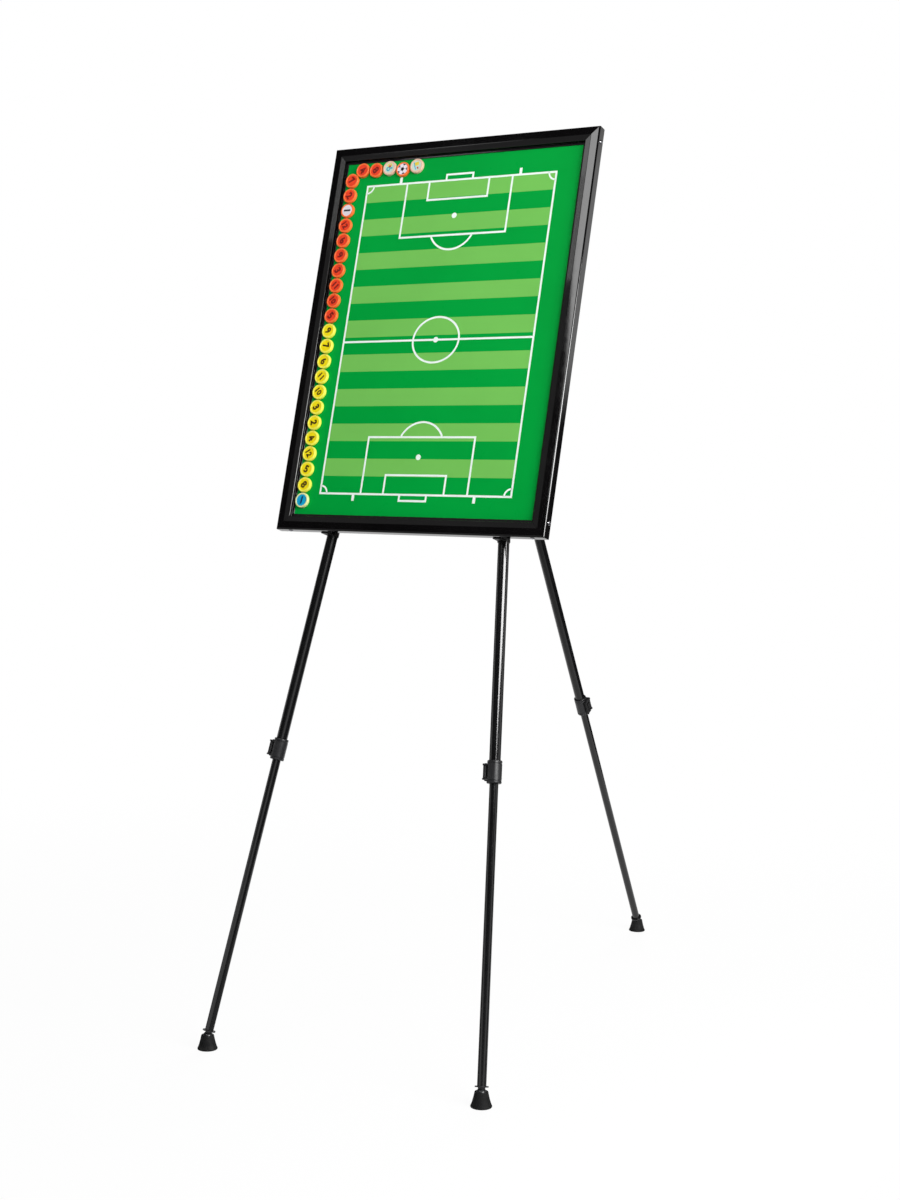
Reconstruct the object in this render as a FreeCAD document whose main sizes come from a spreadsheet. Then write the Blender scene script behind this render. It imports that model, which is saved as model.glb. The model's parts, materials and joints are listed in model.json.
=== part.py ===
import FreeCAD, Part
import math
import os
import re
import Sketcher

# Football tactics board on a folding, telescopic three-legged easel.
# Millimetres and degrees. +Z is up, the board faces -Y, and the origin lies on the floor in the
# middle of the stance. The two front legs and the board lean back together.

# Driving dimensions
DIMENSIONS = (
    # Board frame, a hollow profile with a groove that grips the panel
    ("board_width", 450.0),
    ("board_height", 600.0),
    ("rail_face", 25.0),
    ("rail_depth", 16.0),
    ("rail_wall", 1.8),
    ("rail_edge_round", 3.5),
    ("rail_crown_width", 12.5),
    ("rail_crown_drop", 0.8),
    ("rail_facet_drop", 0.7),
    ("rail_facet_round", 1.0),
    ("rail_back_flange", 16.0),
    ("rail_lip", 1.2),
    ("rail_lip_width", 4.0),
    ("rail_lip_round", 0.5),
    ("groove_depth", 16.0),
    ("groove_end_gap", 1.0),
    ("groove_clearance", 0.1),
    # Printed steel sheet and the core board behind it
    ("sheet_recess", 6.6),
    ("sheet_thickness", 0.5),
    ("backing_thickness", 5.4),
    # Corner keys inside the rails and the screws that hold them
    ("key_leg", 60.0),
    ("key_clearance", 0.15),
    ("screw_inset", 22.0),
    ("screw_radius", 1.6),
    ("screw_length", 5.5),
    ("screw_head_radius", 3.2),
    ("screw_head_height", 1.4),
    ("screw_clearance", 0.05),
    # Magnets
    ("magnet_diameter", 22.5),
    ("magnet_thickness", 5.0),
    ("magnet_rim_bevel", 1.0),
    ("magnet_seat_gap", 0.05),
    ("magnet_edge_gap", 0.75),
    ("magnet_column_gap", 1.4),
    ("magnet_row_gap", 1.5),
    ("magnet_row_settle", 3.5),
    ("magnet_corner_gap", 0.6),
    # Attitude of the legs
    ("lean_angle", 14.6),
    ("splay_angle", 6.3),
    ("rear_angle", 30.1),
    ("pivot_half_spacing", 91.0),
    ("rear_pivot_drop", 57.0),
    ("rear_pivot_behind", 34.0),
    # Telescopic tubes
    ("upper_tube_radius", 8.0),
    ("upper_tube_wall", 1.0),
    ("upper_tube_length", 828.0),
    ("tube_end_margin", 12.0),
    ("lower_tube_radius", 6.2),
    ("lower_tube_wall", 1.0),
    ("lower_tube_length", 640.0),
    ("front_exposed", 400.0),
    ("slide_clearance", 0.25),
    ("plug_clearance", 0.05),
    ("bush_head_height", 12.0),
    ("bush_stem_length", 16.0),
    ("bush_clearance", 0.2),
    # Flip lock on each leg
    ("collar_radius", 10.4),
    ("collar_length", 32.0),
    ("collar_grip", 17.0),
    ("collar_slit_width", 1.6),
    ("collar_slit_height", 12.0),
    ("lever_height", 16.5),
    ("lever_thickness", 3.4),
    ("lever_reach", 15.5),
    ("paddle_height", 24.5),
    ("paddle_start", 3.2),
    ("lever_tab_thickness", 2.2),
    ("lever_tab_length", 2.8),
    ("lever_pin_radius", 1.5),
    ("lever_pin_side", 12.4),
    ("lever_pin_front", 6.5),
    ("lever_pin_clearance", 0.06),
    ("cam_radius", 2.5),
    ("cam_offset", 0.8),
    ("ear_thickness", 2.6),
    ("ear_radius", 2.6),
    ("ear_gap", 0.3),
    # Easel head and its rivets
    ("head_wall", 2.5),
    ("head_side_clearance", 0.5),
    ("head_skirt", 30.0),
    ("head_end_gap", 3.0),
    ("head_stop_gap", 0.4),
    ("ear_margin", 12.0),
    ("rear_stop_reach", 14.0),
    ("pad_radius", 10.0),
    ("pad_half_spacing", 60.0),
    ("pad_gap", 0.3),
    ("rivet_radius", 3.0),
    ("rivet_head_radius", 5.5),
    ("rivet_head_height", 2.0),
    ("rivet_seat_clearance", 0.03),
    ("rivet_running_clearance", 0.08),
    # Supports that carry the board on the front legs
    ("board_stand_off", 18.0),
    ("board_drop", 487.0),
    ("support_wall", 1.2),
    ("support_ring_length", 26.0),
    ("support_ring_rise", 24.5),
    ("ledge_width", 12.0),
    ("ledge_thickness", 1.5),
    ("ledge_gap", 0.2),
    ("ledge_overlap", 4.0),
    # Ball-jointed rubber feet
    ("foot_base_radius", 14.5),
    ("foot_top_radius", 9.5),
    ("foot_height", 21.0),
    ("foot_rim_height", 1.6),
    ("foot_shoulder", 2.0),
    ("ball_radius", 7.5),
    ("ball_below_top", 3.0),
    ("ball_clearance", 0.1),
    ("socket_lip_height", 1.2),
    ("neck_radius", 5.0),
    ("neck_reach", 8.0),
    ("neck_tilt_angle", 34.0),
    ("flange_radius", 9.3),
    ("flange_thickness", 1.6),
    ("plug_stem_length", 20.0),
    # How far a cutting shape runs past what it cuts
    ("overrun", 5.0),
)

# Drop of the column's top magnet below the row, as a share of the distance between those two magnets
CORNER_DROP_SHARE = 0.68
# How far each magnet of the row has settled below its line, as shares of the largest settlement
ROW_SETTLE_SHARES = (0.0, 0.4, 0.0, 1.0, 0.0)

# Sizes worked out from the driving dimensions, each after those that it needs
DERIVED = (
    ("opening_width", "board_width - 2 * rail_face"),
    ("opening_height", "board_height - 2 * rail_face"),
    ("sheet_front", "rail_depth - sheet_recess"),
    ("sheet_back", "sheet_front - sheet_thickness"),
    ("backing_back", "sheet_back - backing_thickness"),
    ("groove_front", "sheet_front + groove_clearance"),
    ("rail_lip_front", "groove_front + rail_lip"),
    ("facet_end", "rail_face - rail_lip_width"),
    ("facet_level", "rail_depth - rail_facet_drop"),
    ("edge_level", "rail_depth - rail_crown_drop"),
    ("groove_back", "backing_back - groove_clearance"),
    ("groove_end", "rail_face - groove_depth"),
    ("panel_margin", "groove_end + groove_end_gap"),
    ("panel_width", "board_width - 2 * panel_margin"),
    ("panel_height", "board_height - 2 * panel_margin"),
    ("chamber_end", "groove_end - rail_wall"),
    ("chamber_top", "rail_depth - rail_edge_round"),
    ("key_start", "rail_wall + key_clearance"),
    ("key_thickness", "chamber_end - rail_wall - 2 * key_clearance"),
    ("key_depth", "chamber_top - rail_wall - 2 * key_clearance"),
    ("screw_level", "(rail_wall + chamber_top) / 2"),
    ("magnet_radius", "magnet_diameter / 2"),
    ("magnet_body", "magnet_thickness - magnet_rim_bevel"),
    ("magnet_back", "sheet_front + magnet_seat_gap"),
    ("upper_tube_bore", "upper_tube_radius - upper_tube_wall"),
    ("lower_tube_bore", "lower_tube_radius - lower_tube_wall"),
    ("upper_tube_end", "tube_end_margin - upper_tube_length"),
    ("collar_seat", "collar_length - collar_grip"),
    ("collar_bottom", "upper_tube_end - collar_seat"),
    ("collar_bore", "lower_tube_radius + slide_clearance"),
    ("lever_middle", "collar_bottom + collar_length / 2"),
    ("lever_bottom", "lever_middle - lever_height / 2"),
    ("lever_top", "lever_middle + lever_height / 2"),
    ("paddle_bottom", "lever_middle - paddle_height / 2"),
    ("pin_distance", "sqrt(lever_pin_side^2 + lever_pin_front^2)"),
    ("cam_share", "1 - cam_offset / pin_distance"),
    ("cam_side", "lever_pin_side * cam_share"),
    ("cam_front", "lever_pin_front * cam_share"),
    ("ear_inner", "collar_radius - 2 * ear_radius"),
    ("ball_height", "foot_height - ball_below_top"),
    ("tube_start", "neck_reach + flange_thickness"),
    ("lower_tube_top", "tube_start + lower_tube_length"),
    ("socket_radius", "ball_radius + ball_clearance"),
    ("socket_lip_radius", "sqrt(socket_radius^2 - socket_lip_height^2)"),
    ("flare_height", "ball_below_top - socket_lip_height"),
    ("flare_radius", "neck_radius / cos(neck_tilt_angle) + ball_below_top * tan(neck_tilt_angle)"),
    ("collar_to_pivot", "collar_seat + upper_tube_length - tube_end_margin"),
    ("front_leg_length", "tube_start + front_exposed + collar_to_pivot"),
    ("front_leg_rise", "front_leg_length * cos(splay_angle)"),
    ("front_foot_half_spacing", "pivot_half_spacing + front_leg_length * sin(splay_angle)"),
    ("pivot_height", "ball_height + front_leg_rise * cos(lean_angle)"),
    ("rear_pivot_height",
     "pivot_height - rear_pivot_drop * cos(lean_angle) - rear_pivot_behind * sin(lean_angle)"),
    ("rear_leg_length", "(rear_pivot_height - ball_height) / cos(rear_angle)"),
    ("pivot_depth", "front_leg_rise * sin(lean_angle)"),
    ("rear_pivot_depth",
     "pivot_depth - rear_pivot_drop * sin(lean_angle) + rear_pivot_behind * cos(lean_angle)"),
    ("stance_depth", "rear_pivot_depth + rear_leg_length * sin(rear_angle)"),
    ("front_foot_y", "-stance_depth / 2"),
    ("rear_foot_y", "stance_depth / 2"),
    ("pivot_y", "front_foot_y + pivot_depth"),
    ("rear_pivot_y", "front_foot_y + rear_pivot_depth"),
    ("board_y", "pivot_y - board_drop * sin(lean_angle) - board_stand_off * cos(lean_angle)"),
    ("board_z", "pivot_height - board_drop * cos(lean_angle) + board_stand_off * sin(lean_angle)"),
    ("head_inner_depth", "upper_tube_radius + head_side_clearance"),
    ("head_outer_depth", "head_inner_depth + head_wall"),
    ("head_ceiling", "tube_end_margin + head_end_gap"),
    ("head_top", "head_ceiling + head_wall"),
    ("head_inner_half",
     "pivot_half_spacing + head_skirt * tan(splay_angle) + upper_tube_radius / cos(splay_angle)"
     " + head_stop_gap"),
    ("head_outer_half", "head_inner_half + head_wall"),
    ("open_angle", "lean_angle + rear_angle"),
    ("stop_radius", "upper_tube_radius + head_stop_gap"),
    ("rear_stop_run", "(rear_stop_reach - stop_radius * cos(open_angle)) / sin(open_angle)"),
    ("rear_stop_level", "stop_radius * sin(open_angle) - rear_stop_run * cos(open_angle)"),
    ("rear_wall_start", "rear_pivot_behind + rear_stop_reach"),
    ("rear_wall_end", "rear_wall_start + head_wall"),
    ("pad_face", "board_stand_off + backing_back - pad_gap"),
    ("ledge_reach", "board_stand_off + ledge_overlap"),
    ("ledge_drop", "board_drop + ledge_gap"),
    ("support_x", "pivot_half_spacing + ledge_drop * tan(splay_angle)"),
    ("support_y", "pivot_y - ledge_drop * sin(lean_angle)"),
    ("support_z", "pivot_height - ledge_drop * cos(lean_angle)"),
    ("support_radius", "upper_tube_radius + support_wall"),
)
NAMES = {name for name, _ in DIMENSIONS + DERIVED}

X, Y, Z = "1; 0; 0", "0; 1; 0", "0; 0; 1"
ORIGIN = ("0", "0", "0")

doc = FreeCAD.newDocument("TacticsBoard")
sheet = doc.addObject("Spreadsheet::Sheet", "Dims")
nodes = []


# Dimension sheet and bindings

def fill_sheet():
    rows = [(name, str(value)) for name, value in DIMENSIONS]
    rows += [(name, "=" + formula) for name, formula in DERIVED]
    for row, (name, content) in enumerate(rows, start=1):
        sheet.set(f"A{row}", name)
        sheet.set(f"B{row}", content)
        sheet.setAlias(f"B{row}", name)
    doc.recompute()


def cells(expression):
    """Point each dimension's name in an expression at its cell."""
    def address(word):
        return "Dims." + word.group() if word.group() in NAMES else word.group()
    return re.sub(r"\b[a-z_]+\b", address, expression)


def bind(feature, **sizes):
    for size, expression in sizes.items():
        feature.setExpression(size, cells(expression))
    return feature


def place(feature, at, turns=()):
    """Bind a placement: a position, then turns about axes, the outermost first."""
    turning = " * ".join(f"rotation(vector({axis}); {angle})" for axis, angle in turns)
    turning = turning or f"rotation(vector({Z}); 0)"
    return bind(feature, Placement=f"placement(vector({'; '.join(at)}); {turning})")


# Solids

def box(name, size, at):
    feature = doc.addObject("Part::Box", name)
    bind(feature, Length=size[0], Width=size[1], Height=size[2])
    return place(feature, at)


def rod(name, radius, height, at=ORIGIN, turns=()):
    feature = doc.addObject("Part::Cylinder", name)
    bind(feature, Radius=radius, Height=height)
    return place(feature, at, turns)


def cone(name, low_radius, high_radius, height, at):
    feature = doc.addObject("Part::Cone", name)
    bind(feature, Radius1=low_radius, Radius2=high_radius, Height=height)
    return place(feature, at)


def ball(name, radius, at=ORIGIN):
    feature = doc.addObject("Part::Sphere", name)
    bind(feature, Radius=radius)
    return place(feature, at)


def fuse(name, shapes):
    feature = doc.addObject("Part::MultiFuse", name)
    feature.Shapes = shapes
    feature.Refine = True
    return feature


def cut(name, base, tools):
    feature = doc.addObject("Part::Cut", name)
    feature.Base = base
    feature.Tool = tools[0] if len(tools) == 1 else fuse(name + "_tools", tools)
    feature.Refine = True
    return feature


def group(name, shapes):
    feature = doc.addObject("Part::Compound", name)
    feature.Links = shapes
    return feature


def subpart(feature, label, at, turns=()):
    feature.Label = label
    nodes.append(place(feature, at, turns))


# Sketched bodies

def sketch_on(body, role, name):
    sketch = body.newObject("Sketcher::SketchObject", name)
    plane = next(item for item in body.Origin.OriginFeatures if item.Role == role)
    sketch.AttachmentSupport = [(plane, "")]
    sketch.MapMode = "FlatFace"
    return sketch


def draw_outline(sketch, points):
    """Add a closed outline whose corners are bound to a pair of expressions each."""
    first = sketch.GeometryCount
    count = len(points)
    for index in range(count):
        ends = [2 * math.pi * (index + step) / count for step in (0, 1)]
        corners = [FreeCAD.Vector(math.cos(angle), math.sin(angle), 0) for angle in ends]
        sketch.addGeometry(Part.LineSegment(*corners))
    for index in range(count):
        following = first + (index + 1) % count
        sketch.addConstraint(Sketcher.Constraint("Coincident", first + index, 2, following, 1))
    for index, corner in enumerate(points):
        for kind, expression in zip(("DistanceX", "DistanceY"), corner):
            link = Sketcher.Constraint(kind, -1, 1, first + index, 1, 1.0)
            number = sketch.addConstraint(link)
            sketch.setExpression(f"Constraints[{number}]", cells(expression))


def edges_at(shape, y, z):
    """Names of the edges along X at a given y and z."""
    found = []
    for number, edge in enumerate(shape.Edges, start=1):
        ends = [vertex.Point for vertex in edge.Vertexes]
        if all(math.hypot(point.y - y, point.z - z) < 1e-6 for point in ends):
            found.append(f"Edge{number}")
    return found


def round_edges(body, base, name, y, z, radius):
    doc.recompute()
    feature = body.newObject("PartDesign::Fillet", name)
    feature.Base = (base, edges_at(base.Shape, y, z))
    return bind(feature, Radius=radius)


# Board frame

BOARD_TURN = ((X, "90 - lean_angle"),)
CORNERS = (
    ("-board_width / 2", "0"),
    ("board_width / 2", "0"),
    ("board_width / 2", "board_height"),
    ("-board_width / 2", "board_height"),
)
BOARD_PLACE = ("0", "board_y", "board_z")


def frame_rail(label, length, corner):
    """Mitred hollow rail: X along the outer edge, Y towards the opening, Z to the front."""
    body = doc.addObject("PartDesign::Body", label + "_body")
    section = sketch_on(body, "YZ_Plane", label + "_section")
    draw_outline(section, (
        ("0", "0"),
        ("rail_back_flange", "0"),
        ("rail_back_flange", "groove_back"),
        ("groove_end", "groove_back"),
        ("groove_end", "groove_front"),
        ("rail_face", "groove_front"),
        ("rail_face", "rail_lip_front"),
        ("facet_end", "rail_lip_front"),
        ("facet_end", "facet_level"),
        ("rail_crown_width", "rail_depth"),
        ("0", "edge_level"),
    ))
    draw_outline(section, (
        ("rail_wall", "rail_wall"),
        ("chamber_end", "rail_wall"),
        ("chamber_end", "chamber_top"),
        ("rail_wall", "chamber_top"),
    ))
    pad = body.newObject("PartDesign::Pad", label + "_pad")
    pad.Profile = section
    bind(pad, Length=length)
    solid = pad
    for name, y, z in (
        ("facet", sheet.get("facet_end"), sheet.get("facet_level")),
        ("lip", sheet.get("rail_face"), sheet.get("rail_lip_front")),
        ("edge", 0, sheet.get("edge_level")),
    ):
        solid = round_edges(body, solid, f"{label}_{name}", y, z, f"rail_{name}_round")
    mitre = sketch_on(body, "XY_Plane", label + "_mitre")
    draw_outline(mitre, (
        ("-overrun", "-overrun"),
        ("rail_face + overrun", "rail_face + overrun"),
        ("-overrun", "rail_face + overrun"),
    ))
    draw_outline(mitre, (
        (f"{length} + overrun", "-overrun"),
        (f"{length} + overrun", "rail_face + overrun"),
        (f"{length} - rail_face - overrun", "rail_face + overrun"),
    ))
    pocket = body.newObject("PartDesign::Pocket", label + "_mitres")
    pocket.Profile = mitre
    pocket.Type = "ThroughAll"
    pocket.Reversed = True
    holes = [
        rod(label + "_hole", "screw_radius + screw_clearance", "rail_wall + 2 * overrun",
            (along, "-overrun", "screw_level"), ((X, "-90"),))
        for along in ("screw_inset", f"{length} - screw_inset")
    ]
    side, up = CORNERS[corner]
    at = (side, f"board_y + ({up}) * sin(lean_angle)", f"board_z + ({up}) * cos(lean_angle)")
    subpart(cut(label, body, holes), label, at, BOARD_TURN + ((Z, str(90 * corner)),))


def corner_key(corner):
    """L-shaped key in the hollow of two rails, drilled for its two screws."""
    name = f"corner_key_{corner}"
    start = ("key_start", "key_start", "key_start")
    legs = [
        box(name + "_flat", ("key_leg", "key_thickness", "key_depth"), start),
        box(name + "_upright", ("key_thickness", "key_leg", "key_depth"), start),
    ]
    hole = ("screw_radius + screw_clearance", "key_start + key_thickness + overrun")
    holes = [
        rod(name + "_hole", *hole, ("screw_inset", "0", "screw_level"), ((X, "-90"),)),
        rod(name + "_hole", *hole, ("0", "screw_inset", "screw_level"), ((Y, "90"),)),
    ]
    key = cut(name, fuse(name + "_legs", legs), holes)
    return place(key, CORNERS[corner] + ("0",), ((Z, str(90 * corner)),))


def corner_screw(corner, name, at, turn):
    """Pan-head screw driven inwards through the side of a rail."""
    shank = rod(name + "_shank", "screw_radius", "screw_length")
    head = cone(name + "_head", "screw_head_radius - screw_head_height / 2", "screw_head_radius",
                "screw_head_height", ("0", "0", "-screw_head_height"))
    screw = place(fuse(name, [shank, head]), at, (turn,))
    return place(group(name + "_at_corner", [screw]), CORNERS[corner] + ("0",),
                 ((Z, str(90 * corner)),))


def board():
    rails = ("frame_bottom_rail", "frame_right_rail", "frame_top_rail", "frame_left_rail")
    for corner, label in enumerate(rails):
        frame_rail(label, ("board_width", "board_height")[corner % 2], corner)
    keys = [corner_key(corner) for corner in range(len(CORNERS))]
    subpart(group("corner_keys", keys), "corner_keys", BOARD_PLACE, BOARD_TURN)
    screws = []
    for corner in range(len(CORNERS)):
        screws.append(corner_screw(corner, f"screw_flat_{corner}",
                                   ("screw_inset", "0", "screw_level"), (X, "-90")))
        screws.append(corner_screw(corner, f"screw_upright_{corner}",
                                   ("0", "screw_inset", "screw_level"), (Y, "90")))
    subpart(group("corner_screws", screws), "corner_screws", BOARD_PLACE, BOARD_TURN)
    for label, thickness, back in (
        ("pitch_sheet", "sheet_thickness", "sheet_back"),
        ("backing_panel", "backing_thickness", "backing_back"),
    ):
        layer = box(label + "_layer", ("panel_width", "panel_height", thickness),
                    ("-panel_width / 2", "panel_margin", back))
        subpart(group(label, [layer]), label, BOARD_PLACE, BOARD_TURN)


# Magnets

COLUMN = (
    "red_magnet_seven", "red_magnet_two", "white_keeper_magnet", "red_magnet_twelve",
    "red_magnet_six", "red_magnet_nine", "red_magnet_three", "red_magnet_eleven",
    "red_magnet_ten", "red_magnet_five",
    "yellow_magnet_nine", "yellow_magnet_seven", "yellow_magnet_six", "yellow_magnet_eleven",
    "yellow_magnet_ten", "yellow_magnet_three", "yellow_magnet_two", "yellow_magnet_four",
    "yellow_magnet_twelve", "yellow_magnet_five", "yellow_magnet_eight", "blue_keeper_magnet",
)
ROW = ("red_magnet_four", "red_magnet_eight", "coach_magnet", "ball_magnet", "referee_magnet")


def magnet(label, x, y):
    """Disc with a bevelled rim, resting on the sheet."""
    disc = rod(label + "_disc", "magnet_radius", "magnet_body", (x, y, "magnet_back"))
    rim = cone(label + "_rim", "magnet_radius", "magnet_radius - magnet_rim_bevel", "magnet_rim_bevel",
               (x, y, "magnet_back + magnet_body"))
    subpart(fuse(label, [disc, rim]), label, BOARD_PLACE, BOARD_TURN)


def magnets():
    """A row along the top of the opening and columns down its left side, as many as fit each."""
    row_level = "board_height - rail_face - magnet_edge_gap - magnet_radius"
    first_x = "magnet_edge_gap + magnet_radius - opening_width / 2"
    corner_span = "(magnet_diameter + magnet_corner_gap)"
    corner_run = f"{math.sqrt(1 - CORNER_DROP_SHARE ** 2)} * {corner_span}"
    pitch = sheet.get("magnet_diameter") + sheet.get("magnet_column_gap")
    drop = CORNER_DROP_SHARE * (sheet.get("magnet_diameter") + sheet.get("magnet_corner_gap"))
    room = sheet.get("opening_height") - 2 * sheet.get("magnet_edge_gap") - sheet.get("magnet_diameter")
    per_column = int((room - drop) / pitch) + 1
    top_level = f"{row_level} - {CORNER_DROP_SHARE} * {corner_span}"
    for index, label in enumerate(COLUMN):
        column, step = divmod(index, per_column)
        x = f"{first_x} + {column} * (magnet_diameter + magnet_row_gap)"
        magnet(label, x, f"{top_level} - {step} * (magnet_diameter + magnet_column_gap)")
    for index, (label, share) in enumerate(zip(ROW, ROW_SETTLE_SHARES)):
        x = f"{first_x} + {corner_run} + {index} * (magnet_diameter + magnet_row_gap)"
        magnet(label, x, f"{row_level} - {share} * magnet_row_settle")


# Easel head

PLANE_TURN = ((X, "-lean_angle"),)
PIVOT_LINE = ("0", "pivot_y", "pivot_height")
THROUGH_DEPTH = (X, "-90")
THROUGH_WIDTH = (Y, "90")


def easel_head():
    """Channel over the tops of the front legs, a yoke for the rear leg and pads for the board."""
    channel = box("head_channel", ("2 * head_outer_half", "2 * head_outer_depth", "head_skirt + head_top"),
                  ("-head_outer_half", "-head_outer_depth", "-head_skirt"))
    hollow = box("head_hollow",
                 ("2 * head_inner_half", "2 * head_inner_depth", "head_skirt + head_ceiling + overrun"),
                 ("-head_inner_half", "-head_inner_depth", "-head_skirt - overrun"))
    ear_size = ("head_wall", "rear_wall_end - head_inner_depth", "rear_pivot_drop + ear_margin")
    ears = [
        box("head_ear", ear_size, (side, "head_inner_depth", "-rear_pivot_drop - ear_margin"))
        for side in ("head_inner_depth", "-head_outer_depth")
    ]
    stop = box("head_stop", ("2 * head_outer_depth", "head_wall", "rear_pivot_drop - rear_stop_level"),
               ("-head_outer_depth", "rear_wall_start", "rear_stop_level - rear_pivot_drop"))
    pads = [
        rod("head_pad", "pad_radius", "pad_face - head_inner_depth", (side, "-head_inner_depth", "0"),
            ((X, "90"),))
        for side in ("-pad_half_spacing", "pad_half_spacing")
    ]
    hole = "rivet_radius + rivet_seat_clearance"
    holes = [
        rod("head_hole", hole, "2 * (head_outer_depth + overrun)",
            (side, "-head_outer_depth - overrun", "0"), (THROUGH_DEPTH,))
        for side in ("-pivot_half_spacing", "pivot_half_spacing")
    ]
    holes.append(rod("head_rear_hole", hole, "2 * (head_outer_depth + overrun)",
                     ("-head_outer_depth - overrun", "rear_pivot_behind", "-rear_pivot_drop"),
                     (THROUGH_WIDTH,)))
    shell = cut("head_shell", channel, [hollow])
    subpart(cut("easel_head", fuse("head_body", [shell, stop] + ears + pads), holes), "easel_head",
            PIVOT_LINE, PLANE_TURN)


def rivet(name, at, turn):
    """Pivot rivet with a flat head at each end, centred on the leg that it holds."""
    length = "2 * head_outer_depth"
    shank = rod(name + "_shank", "rivet_radius", length, ("0", "0", "-head_outer_depth"))
    heads = [
        rod(name + "_head", "rivet_head_radius", "rivet_head_height", ("0", "0", level))
        for level in ("head_outer_depth", "-head_outer_depth - rivet_head_height")
    ]
    return place(fuse(name, [shank] + heads), at, (turn,))


def head_rivets():
    rivets = [
        rivet("left_rivet", ("-pivot_half_spacing", "0", "0"), THROUGH_DEPTH),
        rivet("right_rivet", ("pivot_half_spacing", "0", "0"), THROUGH_DEPTH),
        rivet("rear_rivet", ("0", "rear_pivot_behind", "-rear_pivot_drop"), THROUGH_WIDTH),
    ]
    subpart(group("head_rivets", rivets), "head_rivets", PIVOT_LINE, PLANE_TURN)


# Legs, each built along its own Z axis with its outer side towards -Y

def upper_tube(label, hole_turn):
    tube = rod(label + "_outer", "upper_tube_radius", "upper_tube_length", ("0", "0", "upper_tube_end"))
    bore = rod(label + "_bore", "upper_tube_bore", "upper_tube_length + 2 * overrun",
               ("0", "0", "upper_tube_end - overrun"))
    reach = "upper_tube_radius + overrun"
    start = ("0", f"-({reach})", "0") if hole_turn == THROUGH_DEPTH else (f"-({reach})", "0", "0")
    hole = rod(label + "_hole", "rivet_radius + rivet_running_clearance", f"2 * ({reach})", start,
               (hole_turn,))
    return cut(label, tube, [bore, hole])


def lock_collar(label):
    """Split clamp round both tubes, with two ears for the lever's trunnions."""
    sleeve = rod(label + "_sleeve", "collar_radius", "collar_length", ("0", "0", "collar_bottom"))
    ears = []
    holes = []
    for level in ("lever_bottom - ear_gap - ear_thickness", "lever_top + ear_gap"):
        ears.append(box(label + "_arm", ("lever_pin_side - ear_inner", "2 * ear_radius", "ear_thickness"),
                        ("-lever_pin_side", "-lever_pin_front - ear_radius", level)))
        ears.append(rod(label + "_eye", "ear_radius", "ear_thickness",
                        ("-lever_pin_side", "-lever_pin_front", level)))
    holes.append(rod(label + "_pin_hole", "lever_pin_radius + lever_pin_clearance",
                     "lever_height + 2 * (ear_gap + ear_thickness + overrun)",
                     ("-lever_pin_side", "-lever_pin_front",
                      "lever_bottom - ear_gap - ear_thickness - overrun")))
    holes.append(rod(label + "_lower_bore", "collar_bore", "collar_length + 2 * overrun",
                     ("0", "0", "collar_bottom - overrun")))
    holes.append(rod(label + "_upper_bore", "upper_tube_radius + plug_clearance", "collar_grip + overrun",
                     ("0", "0", "upper_tube_end")))
    holes.append(box(label + "_slit", ("collar_radius + overrun", "collar_slit_width",
                                       "collar_slit_height + overrun"),
                     ("-collar_radius - overrun", "-collar_slit_width / 2", "collar_bottom - overrun")))
    return cut(label, fuse(label + "_casting", [sleeve] + ears), holes)


def lock_lever(label):
    """Paddle with a finger tab, an off-centre cam and two trunnions, standing off the collar."""
    flap = box(label + "_flap", ("lever_thickness", "lever_reach", "lever_height"),
               ("-lever_pin_side - lever_thickness / 2", "-lever_pin_front", "lever_bottom"))
    paddle = box(label + "_paddle", ("lever_thickness", "lever_reach - paddle_start", "paddle_height"),
                 ("-lever_pin_side - lever_thickness / 2", "paddle_start - lever_pin_front",
                  "paddle_bottom"))
    tab = box(label + "_tab", ("lever_tab_length", "lever_tab_thickness", "paddle_height"),
              ("-lever_pin_side - lever_tab_length",
               "lever_reach - lever_pin_front - lever_tab_thickness", "paddle_bottom"))
    cam = rod(label + "_cam", "cam_radius", "lever_height", ("-cam_side", "-cam_front", "lever_bottom"))
    trunnion = rod(label + "_trunnion", "lever_pin_radius",
                   "lever_height + 2 * (ear_gap + ear_thickness)",
                   ("-lever_pin_side", "-lever_pin_front", "lever_bottom - ear_gap - ear_thickness"))
    return fuse(label, [flap, paddle, tab, cam, trunnion])


def lower_tube(label):
    tube = rod(label + "_outer", "lower_tube_radius", "lower_tube_length", ("0", "0", "tube_start"))
    bore = rod(label + "_bore", "lower_tube_bore", "lower_tube_length + 2 * overrun",
               ("0", "0", "tube_start - overrun"))
    return cut(label, tube, [bore])


def guide_bush(label):
    """Plug in the top of the lower tube whose head runs in the upper tube."""
    stem = rod(label + "_stem", "lower_tube_bore - plug_clearance", "bush_stem_length",
               ("0", "0", "lower_tube_top - bush_stem_length"))
    head = rod(label + "_head", "upper_tube_bore - bush_clearance", "bush_head_height",
               ("0", "0", "lower_tube_top"))
    return fuse(label, [stem, head])


def foot_plug(label):
    """Ball stud with a flange, plugged into the bottom of the lower tube."""
    return fuse(label, [
        ball(label + "_ball", "ball_radius"),
        rod(label + "_neck", "neck_radius", "neck_reach"),
        rod(label + "_flange", "flange_radius", "flange_thickness", ("0", "0", "neck_reach")),
        rod(label + "_stem", "lower_tube_bore - plug_clearance", "plug_stem_length",
            ("0", "0", "tube_start")),
    ])


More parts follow.
